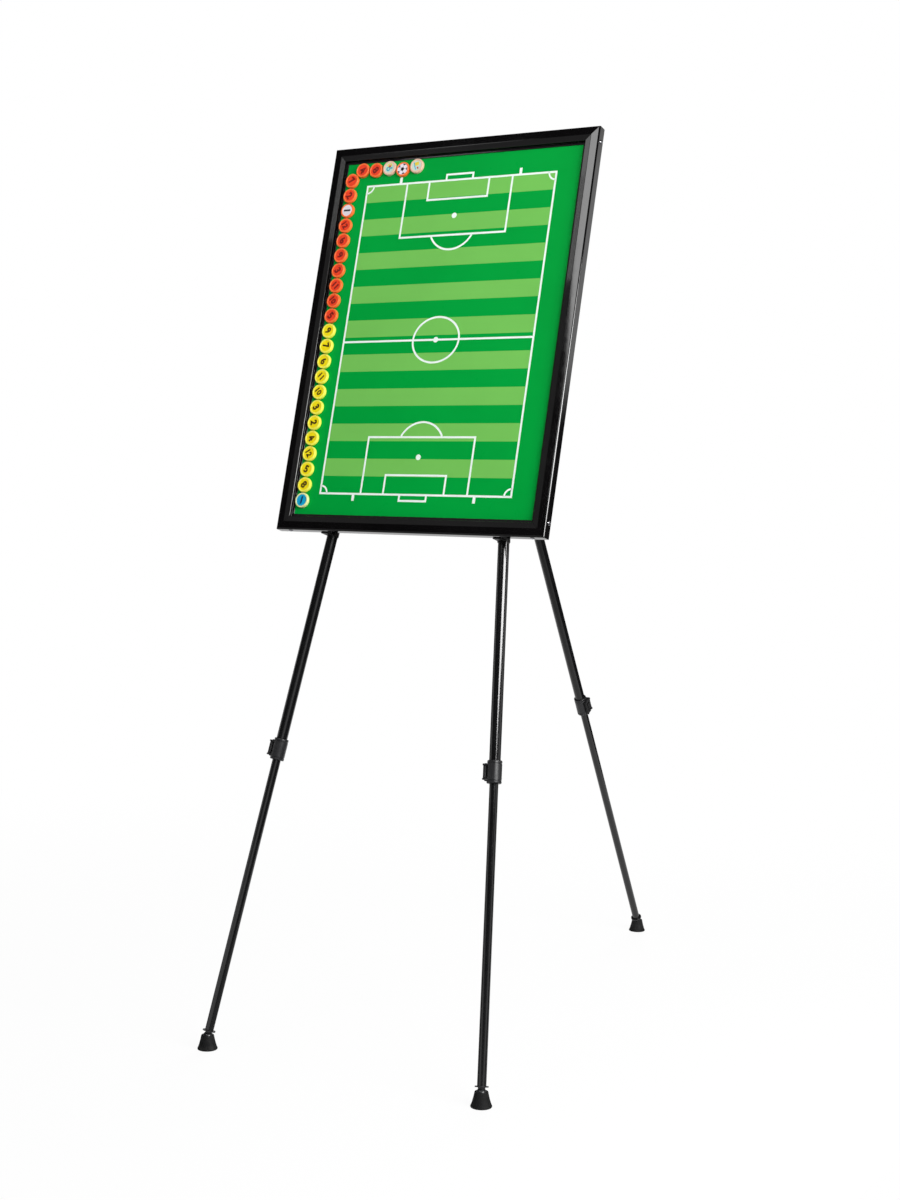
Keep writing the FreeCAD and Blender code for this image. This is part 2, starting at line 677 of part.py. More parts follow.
def rubber_foot(label):
    """Bell-shaped foot with a ball socket that opens in a flare."""
    body = doc.addObject("PartDesign::Body", label + "_body")
    outline = sketch_on(body, "XZ_Plane", label + "_outline")
    draw_outline(outline, (
        ("0", "0"),
        ("foot_base_radius", "0"),
        ("foot_base_radius", "foot_rim_height"),
        ("foot_top_radius", "foot_height - foot_shoulder"),
        ("foot_top_radius - foot_shoulder / 2", "foot_height"),
        ("0", "foot_height"),
    ))
    turned = body.newObject("PartDesign::Revolution", label + "_turned")
    turned.Profile = outline
    turned.ReferenceAxis = (outline, ["V_Axis"])
    socket = ball(label + "_socket", "socket_radius", ("0", "0", "ball_height"))
    flare = cone(label + "_flare", "socket_lip_radius", "flare_radius", "flare_height",
                 ("0", "0", "ball_height + socket_lip_height"))
    mouth = rod(label + "_mouth", "flare_radius", "overrun", ("0", "0", "foot_height"))
    return cut(label, body, [socket, flare, mouth])


def leg(side, pivot, foot, turns, hole_turn):
    for piece, make in (("lock_collar", lock_collar), ("lock_lever", lock_lever)):
        label = f"{side}_{piece}"
        subpart(make(label), label, pivot, turns)
    label = f"{side}_upper_tube"
    subpart(upper_tube(label, hole_turn), label, pivot, turns)
    for piece, make in (("lower_tube", lower_tube), ("guide_bush", guide_bush), ("foot_plug", foot_plug)):
        label = f"{side}_{piece}"
        subpart(make(label), label, foot + ("ball_height",), turns)
    label = f"{side}_rubber_foot"
    subpart(rubber_foot(label), label, foot + ("0",))


def board_support(label, side, splay):
    """Ring on a front tube with a ledge under the bottom rail."""
    tilt = ((Y, splay),)
    ring = rod(label + "_ring", "support_radius", "support_ring_length",
               (f"{side} * (support_ring_length - support_ring_rise) * tan(splay_angle)", "0",
                "support_ring_rise - support_ring_length"), tilt)
    ledge = box(label + "_ledge", ("ledge_width", "ledge_reach", "ledge_thickness"),
                ("-ledge_width / 2", "-ledge_reach", "-ledge_thickness"))
    bore_reach = "(support_ring_length + overrun)"
    bore = rod(label + "_bore", "upper_tube_radius + plug_clearance", f"2 * {bore_reach}",
               (f"-{bore_reach} * sin({splay})", "0", f"-{bore_reach} * cos({splay})"), tilt)
    at = (f"{side} * support_x", "support_y", "support_z")
    subpart(cut(label, fuse(label + "_moulding", [ring, ledge]), [bore]), label, at, PLANE_TURN)


def stand():
    easel_head()
    head_rivets()
    front_pivot = ("pivot_y", "pivot_height")
    for side, sign, splay in (("left", "-1", "splay_angle"), ("right", "1", "-splay_angle")):
        pivot = (f"{sign} * pivot_half_spacing",) + front_pivot
        foot = (f"{sign} * front_foot_half_spacing", "front_foot_y")
        leg(side, pivot, foot, PLANE_TURN + ((Y, splay),), THROUGH_DEPTH)
        board_support(f"{side}_board_support", sign, splay)
    leg("rear", ("0", "rear_pivot_y", "rear_pivot_height"), ("0", "rear_foot_y"),
        ((X, "rear_angle"), (Z, "180")), THROUGH_WIDTH)


# Build, check and write

def check():
    for feature in doc.Objects:
        failed = {"Invalid", "Error"} & set(feature.State)
        if failed:
            raise RuntimeError(f"{feature.Label} is {', '.join(failed)}")
    for node in nodes:
        if node.Shape.isNull() or not node.Shape.isValid() or not node.Shape.Solids:
            raise RuntimeError(f"{node.Label} has no valid solid")


def write():
    os.makedirs("parts", exist_ok=True)
    for node in nodes:
        node.Shape.exportStep(f"parts/{node.Label}.step")
    print(len(nodes), "nodes written")


fill_sheet()
board()
magnets()
stand()
doc.recompute()
check()
write()
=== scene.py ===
import json
import math

import bmesh
import bpy
from mathutils import Matrix, Vector


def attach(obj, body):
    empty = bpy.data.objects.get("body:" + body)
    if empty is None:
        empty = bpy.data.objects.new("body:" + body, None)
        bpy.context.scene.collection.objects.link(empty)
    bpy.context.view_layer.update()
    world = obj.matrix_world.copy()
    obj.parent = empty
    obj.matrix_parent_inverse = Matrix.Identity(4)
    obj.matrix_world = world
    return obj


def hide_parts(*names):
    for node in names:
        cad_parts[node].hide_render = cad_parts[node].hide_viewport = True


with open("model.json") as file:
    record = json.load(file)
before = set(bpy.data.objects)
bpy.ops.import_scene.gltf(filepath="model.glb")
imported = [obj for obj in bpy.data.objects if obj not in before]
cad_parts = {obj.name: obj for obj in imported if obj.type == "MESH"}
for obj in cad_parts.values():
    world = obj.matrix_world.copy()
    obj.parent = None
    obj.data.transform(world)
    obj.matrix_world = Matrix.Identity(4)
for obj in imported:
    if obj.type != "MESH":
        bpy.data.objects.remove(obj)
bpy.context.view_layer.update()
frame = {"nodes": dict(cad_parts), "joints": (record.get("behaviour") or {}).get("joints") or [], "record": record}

# Football tactics board on a folding, telescopic three-legged easel.
# The part's frame is in metres. Each sub-part is drawn in millimetres in a frame of its own.
MM = 0.001

# Frame rails
RAIL_DEPTH = 16.0
RAIL_BACK_FLANGE = 16.0
RAIL_GROOVE_END = 9.0
RAIL_GROOVE_BACK = 3.4
RAIL_GROOVE_FRONT = 9.5
RAIL_LIP = 1.2
RAIL_LIP_WIDTH = 4.0
RAIL_LIP_ROUND = 0.5
RAIL_STEP_ROUND = 0.3
RAIL_FACET_DROP = 0.7
RAIL_FACET_ROUND = 1.0
RAIL_CROWN_WIDTH = 12.5
RAIL_CROWN_DROP = 0.8
RAIL_CROWN_ROUND = 6.0
RAIL_EDGE_ROUND = 2.4
RAIL_BACK_ROUND = 0.8
RAIL_GROOVE_ROUND = 0.3
RAIL_ARC_STEPS = 8
MITRE_TRIM = 0.05
MITRE_EASE = 0.3

# Corner screws
SCREW_INSET = 22.0
SCREW_LEVEL = 7.15
SCREW_SHANK = 1.6
SCREW_LENGTH = 5.5
SCREW_HEAD = 3.2
SCREW_HEAD_HEIGHT = 1.4
SCREW_EDGE_SHARE = 0.3
RECESS_REACH = 1.9
RECESS_HALF_WIDTH = 0.35
RECESS_DEPTH = 0.9

# Printed pitch, from the middle of the board's bottom edge
PITCH_CENTRE = (1.0, 297.5)
PITCH_WIDTH = 321.4
PITCH_LENGTH = 480.0
PITCH_STRIPES = 18
LINE_WIDTH = 3.0
CORNER_LINE_WIDTH = 2.7
HALFWAY_LEVEL = 290.5
CIRCLE_HALF_WIDTH = 38.8
CIRCLE_HALF_HEIGHT = 34.6
PENALTY_WIDTH = 179.5
PENALTY_DEPTH = 86.0
GOAL_AREA_WIDTH = 102.0
GOAL_AREA_DEPTH = 29.0
GOAL_WIDTH = 45.0
GOAL_DEPTH = 9.0
SPOT_DISTANCE = 56.0
SPOT_RADIUS = 4.2
ARC_RADIUS = 38.8
ARC_CHORD = 69.0
CORNER_RADIUS = 11.5
TICK_OFFSET = 102.0
TICK_WIDTH = 4.5
TICK_LENGTH = 9.0
INK = 0.02
SPOT_INK = 0.024

# Magnets
MAGNET_RADIUS = 11.25
MAGNET_THICKNESS = 5.0
MAGNET_RIM = 2.5
MAGNET_RECESS = 0.4
MAGNET_BASE_EASE = 0.4
MAGNET_EDGE_ROUND = 1.0
MAGNET_RIM_SLOPE = 0.35
MAGNET_STEPS = 64
NUMERAL_HEIGHT = 11.6
NUMERAL_PAIR_HEIGHT = 9.6
NUMERAL_RELIEF = 0.06
NUMERAL_BOLDNESS = 0.045
NUMERAL_STEPS = 4

# Pictures on the discs, from the disc's middle
PRINT_REACH_SHARE = 0.96
GROUND_SHARE = 0.86
BALL_SIDES = 5
BALL_PANEL = 3.2
BALL_SEAM = 0.35
BALL_EDGE_TIP = 5.9
BALL_EDGE_SIDE = 7.2
BALL_EDGE_HALF = 1.9
BALL_EDGE_ANGLE = 17
WHISTLE_CENTRE = (-1.4, -1.6)
WHISTLE_BARREL = 3.6
WHISTLE_OPENING = 60
WHISTLE_HOLE = 1.5
WHISTLE_MOUTHPIECE = ((5.8, -1.6), (5.8, 0.9), (0.4, 1.5))
WHISTLE_CORD = ((-1.6, 1.9), (-3.4, 4.4), (-0.4, 6.4), (3.2, 5.8), (3.6, 3.2), (0.6, 2.6))
WHISTLE_CORD_WIDTH = 1.8
WHISTLE_BEAD = 1.9
WHISTLE_BEAD_PLACE = (0.8, 2.6)
FLAG_STAFF = ((-4.6, 5.0), (-0.6, -6.2))
FLAG_STAFF_WIDTH = 1.5
FLAG_CLOTH = ((-4.0, 4.6), (-2.1, -0.7), (4.6, 1.3), (3.4, 6.4))
CARD = ((2.2, -5.6), (4.6, -4.6), (3.2, -1.4), (0.8, -2.4))

# Telescopic legs, in a frame with its origin at the leg's pivot
COLLAR_RADIUS = 10.4
COLLAR_LENGTH = 32.0
COLLAR_BOTTOM = -831.0
COLLAR_SEAT = 15.0
COLLAR_LOWER_BORE = 6.45
COLLAR_UPPER_BORE = 8.05
COLLAR_EASE = 1.4
COLLAR_GROOVE = 0.5
COLLAR_GROOVE_WIDTH = 1.6
COLLAR_GROOVE_INSET = 4.2
OVERRUN = 1.0
SLIT_WIDTH = 1.6
SLIT_HEIGHT = 12.0
LEVER_HEIGHT = 16.5
LEVER_THICKNESS = 3.4
LEVER_REACH = 15.5
LEVER_EASE = 0.7
LEVER_ROUND = 0.9
PADDLE_HEIGHT = 24.5
PADDLE_START = 3.2
TAB_LENGTH = 2.8
TAB_THICKNESS = 2.2
TAB_ROUND = 0.8
PIN_SIDE = 12.4
PIN_FRONT = 6.5
PIN_RADIUS = 1.5
PIN_EASE = 0.3
CAM_RADIUS = 2.5
CAM_SHARE = 0.9429
EAR_THICKNESS = 2.6
EAR_RADIUS = 2.6
EAR_GAP = 0.3
EAR_EASE = 0.5
EAR_ROUND = 2.55
EAR_ROOT_ROUND = 0.3
RIDGE_COUNT = 5
RIDGE_RADIUS = 0.55
RIDGE_START = 4.65
RIDGE_PITCH = 1.4
RIDGE_SINK = 0.15
RIDGE_MARGIN = 2.5
RIDGE_EASE = 0.3

# Feet
FOOT_RADIUS = 14.5
FOOT_BOW = 0.3
FOOT_TOP_RADIUS = 9.5
FOOT_HEIGHT = 21.0
FOOT_RIM_HEIGHT = 2.4
FOOT_RIM_STEP = 0.6
FOOT_EASE = 0.9
FOOT_SHOULDER = 2.2
FLANK_STEPS = 8
SHOULDER_STEPS = 5
SOCKET_RADIUS = 7.6
SOCKET_LEVEL = 18.0
SOCKET_LIP = 1.2
SOCKET_END = -80
FLARE_RADIUS = 8.05
FLARE_MARGIN = 0.2
SOLE_RING = 8.0
SOLE_DEPTH = 0.8

# Head and supports
HEAD_EASE = 0.9
SUPPORT_EASE = 0.35
RIVET_RADIUS = 3.0
RIVET_HEAD_RADIUS = 5.5
RIVET_HEAD_HEIGHT = 2.0
RIVET_EDGE_SHARE = 0.25
RIVET_HALF_GRIP = 11.0

# Meshes, with angles in degrees. The weld gap is in metres, the merge gap in a drawing's own units.
WELD_GAP = 1e-6
MERGE_GAP = 1e-4
FLAT_ANGLE = 1
EASED_ANGLE = 40
EASE_SEGMENTS = 3
SHARP_ANGLE = 32
FOOT_SHARP_ANGLE = 40

# Camera, fitted to the photograph's 900 by 1200 pixels
CAMERA_PLACE = (1.39137, -2.57569, 0.83152)
CAMERA_YAW = 30.402
CAMERA_PITCH = 3.866
CAMERA_ROLL = 0.781
CAMERA_FOCAL_PIXELS = 1845.07
IMAGE_HEIGHT = 1200
SENSOR = 36.0


# Frames of the sub-parts

def joint(name):
    return next(item for item in frame["joints"] if item["name"] == name)


def extent(node, axis):
    """Lowest and highest reach of a node along an axis, in metres."""
    along = [axis.dot(vertex.co) for vertex in frame["nodes"][node].data.vertices]
    return min(along), max(along)


def middle(node, axis):
    return sum(extent(node, axis)) / 2


def local_frame(origin, across, up, out):
    """Matrix from millimetres along three axes to the part's frame."""
    turn = Matrix((across, up, out)).transposed().to_4x4()
    return Matrix.Translation(origin) @ turn @ Matrix.Scale(MM, 4)


ACROSS = Vector((1, 0, 0))
BOARD_UP = Vector(joint("board_lift")["axis"]).normalized()
BOARD_FRONT = ACROSS.cross(BOARD_UP)
RAILS = ("frame_bottom_rail", "frame_right_rail", "frame_top_rail", "frame_left_rail")
LEFT, RIGHT = extent("frame_bottom_rail", ACROSS)
BOTTOM = extent("frame_bottom_rail", BOARD_UP)[0]
TOP = extent("frame_top_rail", BOARD_UP)[1]
BACK = extent("frame_bottom_rail", BOARD_FRONT)[0]
BOARD_WIDTH = (RIGHT - LEFT) / MM
BOARD_HEIGHT = (TOP - BOTTOM) / MM
RAIL_FACE = (extent("frame_left_rail", ACROSS)[1] - LEFT) / MM
BOARD_ORIGIN = BOARD_UP * BOTTOM + BOARD_FRONT * BACK
BOARD = local_frame(BOARD_ORIGIN, ACROSS, BOARD_UP, BOARD_FRONT)
BOARD_CORNERS = (
    (-BOARD_WIDTH / 2, 0),
    (BOARD_WIDTH / 2, 0),
    (BOARD_WIDTH / 2, BOARD_HEIGHT),
    (-BOARD_WIDTH / 2, BOARD_HEIGHT),
)


def corner_frame(corner):
    """Board frame moved to a corner, with X along the rail that starts there."""
    x, y = BOARD_CORNERS[corner]
    return BOARD @ Matrix.Translation((x, y, 0)) @ Matrix.Rotation(math.pi / 2 * corner, 4, "Z")


def leg_frame(side):
    """Frame at a leg's pivot, Z up the leg and the lock's lever towards -X."""
    up = Vector(joint(f"{side}_leg_slide")["axis"]).normalized()
    if side == "rear":
        across = -ACROSS
        out = up.cross(across)
    else:
        out = -BOARD_FRONT
        across = out.cross(up)
    return local_frame(Vector(joint(f"{side}_leg_fold")["pos_m"]), across, out, up)


# Outlines and solids, as lists of points and faces

def rounded(corners, steps=5):
    """Outline from (x, y, radius) corners in anticlockwise order, each corner an arc."""
    outline = []
    for index, (x, y, radius) in enumerate(corners):
        here = Vector((x, y))
        before = (Vector(corners[index - 1][:2]) - here).normalized()
        after = (Vector(corners[(index + 1) % len(corners)][:2]) - here).normalized()
        if radius == 0:
            outline.append(here)
            continue
        half = before.angle(after) / 2
        centre = here + (before + after).normalized() * radius / math.sin(half)
        start = here + before * radius / math.tan(half) - centre
        end = here + after * radius / math.tan(half) - centre
        angle = math.atan2(start.y, start.x)
        turn = (math.atan2(end.y, end.x) - angle + math.pi) % (2 * math.pi) - math.pi
        outline += [centre + polar(radius, angle + turn * step / steps) for step in range(steps + 1)]
    return outline


def polar(radius, angle):
    return Vector((radius * math.cos(angle), radius * math.sin(angle)))


def circle(radius, centre=(0, 0), steps=32):
    return [Vector(centre) + polar(radius, 2 * math.pi * step / steps) for step in range(steps)]


def arc(radius, start, end, centre=(0, 0), steps=16):
    """Points of an arc between two angles in degrees."""
    angles = [math.radians(start + (end - start) * step / steps) for step in range(steps + 1)]
    return [Vector(centre) + polar(radius, angle) for angle in angles]


def rectangle(left, low, right, high, radius=0):
    return rounded([(left, low, radius), (right, low, radius), (right, high, radius), (left, high, radius)])


def side_step(before, here, after):
    """Direction to the left of a path at a point, stretched so that a mitre keeps its width."""
    first = (here - before).normalized() if before is not None else (after - here).normalized()
    second = (after - here).normalized() if after is not None else first
    left = Vector((-first.y, first.x))
    bisector = (left + Vector((-second.y, second.x))).normalized()
    return bisector / bisector.dot(left)


def side_steps(path, closed=True):
    ahead = path[1:] + (path[:1] if closed else [None])
    behind = (path[-1:] if closed else [None]) + path[:-1]
    return [side_step(*three) for three in zip(behind, path, ahead)]


def inset(outline, distance):
    return [point + step * distance for point, step in zip(outline, side_steps(outline))]


def dome(radius, base, height, base_share, steps=8):
    """Profile of a domed head: a short upright edge, then a quarter ellipse up to the pole."""
    edge = base + height * base_share
    rise = height * (1 - base_share)
    angles = [math.pi / 2 * step / steps for step in range(steps)]
    profile = [(radius * math.cos(angle), edge + rise * math.sin(angle)) for angle in angles]
    return profile + [(0, base + height)]


def skin(loops, closed=False):
    """Join loops of equally many points into one closed solid."""
    count = len(loops[0])
    points = [point for loop in loops for point in loop]
    faces = []
    for level in range(len(loops) if closed else len(loops) - 1):
        above = (level + 1) % len(loops)
        for step in range(count):
            turn = (step + 1) % count
            low, high = level * count, above * count
            faces.append((low + step, low + turn, high + turn, high + step))
    if not closed:
        faces.append(tuple(reversed(range(count))))
        faces.append(tuple(range(len(points) - count, len(points))))
    return points, faces


def prism(outline, low, high, ease=0.0, steps=3):
    """Outline drawn out along Z, with its end edges eased by a radius."""
    if ease == 0:
        return skin([[(*point, level) for point in outline] for level in (low, high)])
    loops = []
    for step in range(steps + 1):
        angle = math.pi / 2 * step / steps
        ring = inset(outline, ease * (1 - math.sin(angle)))
        loops.append([(*point, ease * (1 - math.cos(angle))) for point in ring])
    bottom = [[(x, y, low + rise) for x, y, rise in loop] for loop in loops]
    top = [[(x, y, high - rise) for x, y, rise in loop] for loop in reversed(loops)]
    return skin(bottom + top)


def ribbon(path, width, low, high, closed=False):
    """Flat band along a path of points, with mitred corners."""
    half = width / 2
    loops = []
    for point, step in zip(path, side_steps(path, closed)):
        right = point - step * half
        left = point + step * half
        loops.append([(*left, low), (*right, low), (*right, high), (*left, high)])
    return skin(loops, closed)


def lathe(profile, steps=48, closed=False):
    """Turn (radius, height) pairs about Z; a zero radius is a pole."""
    points = []
    rings = []
    for radius, height in profile:
        first = len(points)
        if radius == 0:
            points.append((0, 0, height))
            rings.append([first] * steps)
            continue
        points += [(*point, height) for point in circle(radius, steps=steps)]
        rings.append(range(first, first + steps))
    faces = []
    for low, high in zip(rings, rings[1:] + (rings[:1] if closed else [])):
        for step in range(steps):
            turn = (step + 1) % steps
            corners = (low[step], low[turn], high[turn], high[step])
            faces.append(tuple(dict.fromkeys(corners)))
    return points, faces


class Shape:
    """Solids of one piece, in millimetres of a sub-part's frame, with a finish for each face."""

    def __init__(self):
        self.points = []
        self.faces = []
        self.finishes = []

    def add(self, solid, finish=0, place=Matrix()):
        points, faces = solid
        first = len(self.points)
        self.points += [place @ Vector(point) for point in points]
        self.faces += [[first + index for index in face] for face in faces]
        self.finishes += finish if isinstance(finish, list) else [finish] * len(faces)
        return self

    def mesh(self, name, place):
        made = bpy.data.meshes.new(name)
        made.from_pydata([place @ point for point in self.points], [], self.faces)
        made.polygons.foreach_set("material_index", self.finishes)
        work = bmesh.new()
        work.from_mesh(made)
        bmesh.ops.recalc_face_normals(work, faces=work.faces)
        work.to_mesh(made)
        work.free()
        return made


def carve(solid, tool):
    """Cut one solid out of another."""
    parts = []
    for name, (points, faces) in (("carved", solid), ("carver", tool)):
        mesh = Shape().add((points, faces)).mesh(name, Matrix())
        parts.append(bpy.data.objects.new(name, mesh))
        bpy.context.scene.collection.objects.link(parts[-1])
    change = parts[0].modifiers.new("Cut", "BOOLEAN")
    change.operation = "DIFFERENCE"
    change.solver = "EXACT"
    change.object = parts[1]
    result = evaluated(parts[0])
    for part in parts:
        bpy.data.objects.remove(part)
    return result


def evaluated(thing):
    """Points and faces of an object with its modifiers, in its own coordinates."""
    bpy.context.view_layer.update()
    graph = bpy.context.evaluated_depsgraph_get()
    mesh = bpy.data.meshes.new_from_object(thing.evaluated_get(graph))
    work = bmesh.new()
    work.from_mesh(mesh)
    bmesh.ops.remove_doubles(work, verts=work.verts, dist=MERGE_GAP)
    work.verts.index_update()
    points = [vertex.co.copy() for vertex in work.verts]
    faces = [tuple(vertex.index for vertex in face.verts) for face in work.faces]
    work.free()
    bpy.data.meshes.remove(mesh)
    return points, faces


def numeral(text, height, relief):
    """Raised figures centred on the origin."""
    curve = bpy.data.curves.new("numeral", "FONT")
    curve.body = text
    curve.extrude = relief / 2
    curve.offset = NUMERAL_BOLDNESS
    curve.resolution_u = NUMERAL_STEPS
    words = bpy.data.objects.new("numeral", curve)
    bpy.context.scene.collection.objects.link(words)
    points, faces = evaluated(words)
    bpy.data.objects.remove(words)
    low = [min(point[axis] for point in points) for axis in range(2)]
    high = [max(point[axis] for point in points) for axis in range(2)]
    scale = height / (high[1] - low[1])
    centre = Vector(((low[0] + high[0]) / 2, (low[1] + high[1]) / 2, 0))
    sized = [(*((point - centre) * scale).xy, point.z + relief / 2) for point in points]
    return sized, faces


# Finishes

NOISE_SPAN = (0.3, 0.7)
DUST_SCALE = 90.0
DUST_SPAN = (-0.9, 0.5)
DUST_DETAIL = 6.0
SMEAR_DETAIL = 5.0
GRAIN_DETAIL = 2.0
GRAIN_DEPTH = 0.0003
PRINT_ROUGHNESS = 0.3


def display(red, green, blue):
    """Linear colour of a display colour given in 0 to 255."""
    def linear(value):
        share = value / 255
        return share / 12.92 if share <= 0.04045 else ((share + 0.055) / 1.055) ** 2.4
    return linear(red), linear(green), linear(blue)


def add_node(tree, kind, inputs=None, **settings):
    """Add a shader node; an input that is a socket is linked, any other is set."""
    node = tree.nodes.new(kind)
    for name, value in settings.items():
        setattr(node, name, value)
    for name, value in (inputs or {}).items():
        if isinstance(value, bpy.types.NodeSocket):
            tree.links.new(value, node.inputs[name])
        else:
            node.inputs[name].default_value = value
    return node


def noise(tree, place, scale, detail=3.0):
    node = add_node(tree, "ShaderNodeTexNoise", {"Vector": place, "Scale": scale, "Detail": detail})
    return node.outputs["Fac"]


def spread(tree, value, low, high):
    """Map the usual span of a noise value onto a range."""
    start, end = NOISE_SPAN
    return add_node(tree, "ShaderNodeMapRange", {
        "Value": value, "From Min": start, "From Max": end, "To Min": low, "To Max": high,
    }).outputs["Result"]


def blend_colours(tree, share, first, second):
    """Mix of two colours: a Mix node's colours are at its inputs 6 and 7 and its output 2."""
    node = add_node(tree, "ShaderNodeMix", data_type="RGBA")
    for socket, value in ((node.inputs[0], share), (node.inputs[6], first), (node.inputs[7], second)):
        if isinstance(value, bpy.types.NodeSocket):
            tree.links.new(value, socket)
        else:
            socket.default_value = value if isinstance(value, float) else (*value, 1)
    return node.outputs[2]


def surface(name, colour, roughness, tone=0.1, tone_scale=25.0, uneven=0.25, uneven_scale=60.0,
            grain=0.05, grain_scale=1500.0, stretch=(1, 1, 1), dust=None, **fixed):
    """Material with slow changes of tone, an uneven gloss and a fine grain, fixed to the piece."""
    material = bpy.data.materials.new(name)
    material.use_nodes = True
    tree = material.node_tree
    shader = tree.nodes["Principled BSDF"]
    place = add_node(tree, "ShaderNodeTexCoord").outputs["Object"]
    drawn = add_node(tree, "ShaderNodeMapping", {"Vector": place, "Scale": stretch}).outputs["Vector"]
    darker = tuple(value * (1 - tone) for value in colour)
    lighter = tuple(min(1, value * (1 + tone)) for value in colour)
    mottle = spread(tree, noise(tree, drawn, tone_scale), 0.0, 1.0)
    painted = blend_colours(tree, mottle, darker, lighter)
    if dust:
        specks = spread(tree, noise(tree, place, DUST_SCALE, DUST_DETAIL), *DUST_SPAN)
        painted = blend_colours(tree, specks, painted, dust)
    tree.links.new(painted, shader.inputs["Base Color"])
    smears = noise(tree, drawn, uneven_scale, SMEAR_DETAIL)
    gloss = spread(tree, smears, roughness * (1 - uneven), roughness * (1 + uneven))
    tree.links.new(gloss, shader.inputs["Roughness"])
    bump = add_node(tree, "ShaderNodeBump", {
        "Height": noise(tree, drawn, grain_scale, GRAIN_DETAIL), "Strength": grain, "Distance": GRAIN_DEPTH,
    })
    tree.links.new(bump.outputs["Normal"], shader.inputs["Normal"])
    for socket, value in fixed.items():
        shader.inputs[socket.replace("_", " ")].default_value = value
    return material


GLOSS_BLACK = surface("gloss_black", display(9, 8, 9), 0.05, tone=0.25, grain=0.004, grain_scale=300,
                      Specular_IOR_Level=0.6)
SCREW_ZINC = surface("screw_zinc", display(205, 205, 210), 0.26, tone=0.12, grain=0.06, Metallic=1.0)
GRASS_DARK = surface("grass_dark", display(0, 160, 60), 0.35, tone=0.04, tone_scale=9, grain=0.03,
                     grain_scale=900, Specular_IOR_Level=0.03)
GRASS_LIGHT = surface("grass_light", display(118, 196, 91), 0.35, tone=0.03, tone_scale=9, grain=0.03,
                      grain_scale=900, Specular_IOR_Level=0.03)
LINE_WHITE = surface("line_white", display(242, 252, 246), 0.35, tone=0.02, grain=0.03,
                     Specular_IOR_Level=0.03)
HARDBOARD = surface("hardboard", display(132, 100, 70), 0.7, tone=0.22, tone_scale=180, grain=0.5,
                    grain_scale=700, stretch=(1, 0.35, 0.35), dust=display(160, 130, 96))
TUBE_BLACK = surface("tube_black", display(17, 17, 18), 0.13, tone=0.2, uneven=0.1, grain=0.001,
                     grain_scale=400, Specular_IOR_Level=0.5)
LOCK_BLACK = surface("lock_black", display(31, 31, 33), 0.33, tone=0.1, grain=0.03, grain_scale=1200,
                     Specular_IOR_Level=0.5)
LEVER_BLACK = surface("lever_black", display(28, 28, 29), 0.55, tone=0.15, grain=0.25, grain_scale=2400,
                      Specular_IOR_Level=0.35)
HEAD_BLACK = surface("head_black", display(36, 36, 38), 0.5, tone=0.15, grain=0.25, grain_scale=1800,
                     Specular_IOR_Level=0.4)
SUPPORT_BLACK = surface("support_black", display(18, 18, 19), 0.45, tone=0.2, grain=0.05, grain_scale=1500,
                        Specular_IOR_Level=0.3)
RIVET_STEEL = surface("rivet_steel", display(160, 160, 164), 0.32, tone=0.15, grain=0.08, Metallic=1.0)
NYLON = surface("nylon", display(176, 176, 178), 0.5, tone=0.05, grain=0.1)
RUBBER = surface("rubber", display(13, 13, 14), 0.72, tone=0.2, grain=0.35, grain_scale=2600,
                 dust=display(44, 43, 42), Specular_IOR_Level=0.3)


def glossy_print(name, *colour):
    return surface(name, display(*colour), PRINT_ROUGHNESS, tone=0.05, tone_scale=140, grain=0.04,
                   Specular_IOR_Level=0.35)


RED_FACE = glossy_print("red_face", 240, 64, 28)
RED_RIM = glossy_print("red_rim", 255, 118, 56)
RED_INK = glossy_print("red_ink", 122, 20, 16)
YELLOW_FACE = glossy_print("yellow_face", 250, 228, 8)
YELLOW_RIM = glossy_print("yellow_rim", 250, 244, 92)
YELLOW_INK = glossy_print("yellow_ink", 72, 54, 2)
WHITE_FACE = glossy_print("white_face", 234, 226, 236)
BLACK_INK = glossy_print("black_ink", 22, 14, 28)
BLUE_FACE = glossy_print("blue_face", 6, 166, 212)
BLUE_INK = glossy_print("blue_ink", 10, 44, 92)
BLUE_RIM = glossy_print("blue_rim", 236, 238, 168)
PICTURE_RIM = glossy_print("picture_rim", 231, 192, 166)
BEIGE_FACE = glossy_print("beige_face", 226, 210, 192)
PALE_FACE = glossy_print("pale_face", 198, 222, 208)
CYAN_INK = glossy_print("cyan_ink", 64, 178, 196)
SUN_INK = glossy_print("sun_ink", 236, 210, 62)
CORAL_INK = glossy_print("coral_ink", 206, 72, 40)


# Pieces

def body_of(node):
    bodies = frame["record"]["behaviour"]["bodies"]
    return next(body for body, members in bodies.items() if node in members)


def add_piece(name, shape, place, finishes, body, replaced=(), sharp_angle=SHARP_ANGLE):
    mesh = shape.mesh(name, place)
    for finish in finishes:
        mesh.materials.append(finish)
    mesh.shade_smooth()
    mesh.set_sharp_from_angle(angle=math.radians(sharp_angle))
    piece = bpy.data.objects.new(name, mesh)
    bpy.context.scene.collection.objects.link(piece)
    piece.modifiers.new("Even shading", "WEIGHTED_NORMAL").keep_sharp = True
    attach(piece, body)
    if replaced:
        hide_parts(*replaced)
    return piece


def dress_node(node, finish, ease=0.0):
    """Give a CAD node its finish and, if it is a moulding or pressing, eased edges."""
    thing = frame["nodes"][node]
    thing.data.materials.clear()
    thing.data.materials.append(finish)
    if ease:
        thing.modifiers.new("Join faces", "WELD").merge_threshold = WELD_GAP
        flat = thing.modifiers.new("Join flats", "DECIMATE")
        flat.decimate_type = "DISSOLVE"
        flat.angle_limit = math.radians(FLAT_ANGLE)
        bevel = thing.modifiers.new("Ease edges", "BEVEL")
        bevel.width = ease * MM
        bevel.segments = EASE_SEGMENTS
        bevel.limit_method = "ANGLE"
        bevel.angle_limit = math.radians(EASED_ANGLE)
        thing.modifiers.new("Even shading", "WEIGHTED_NORMAL")


# Board

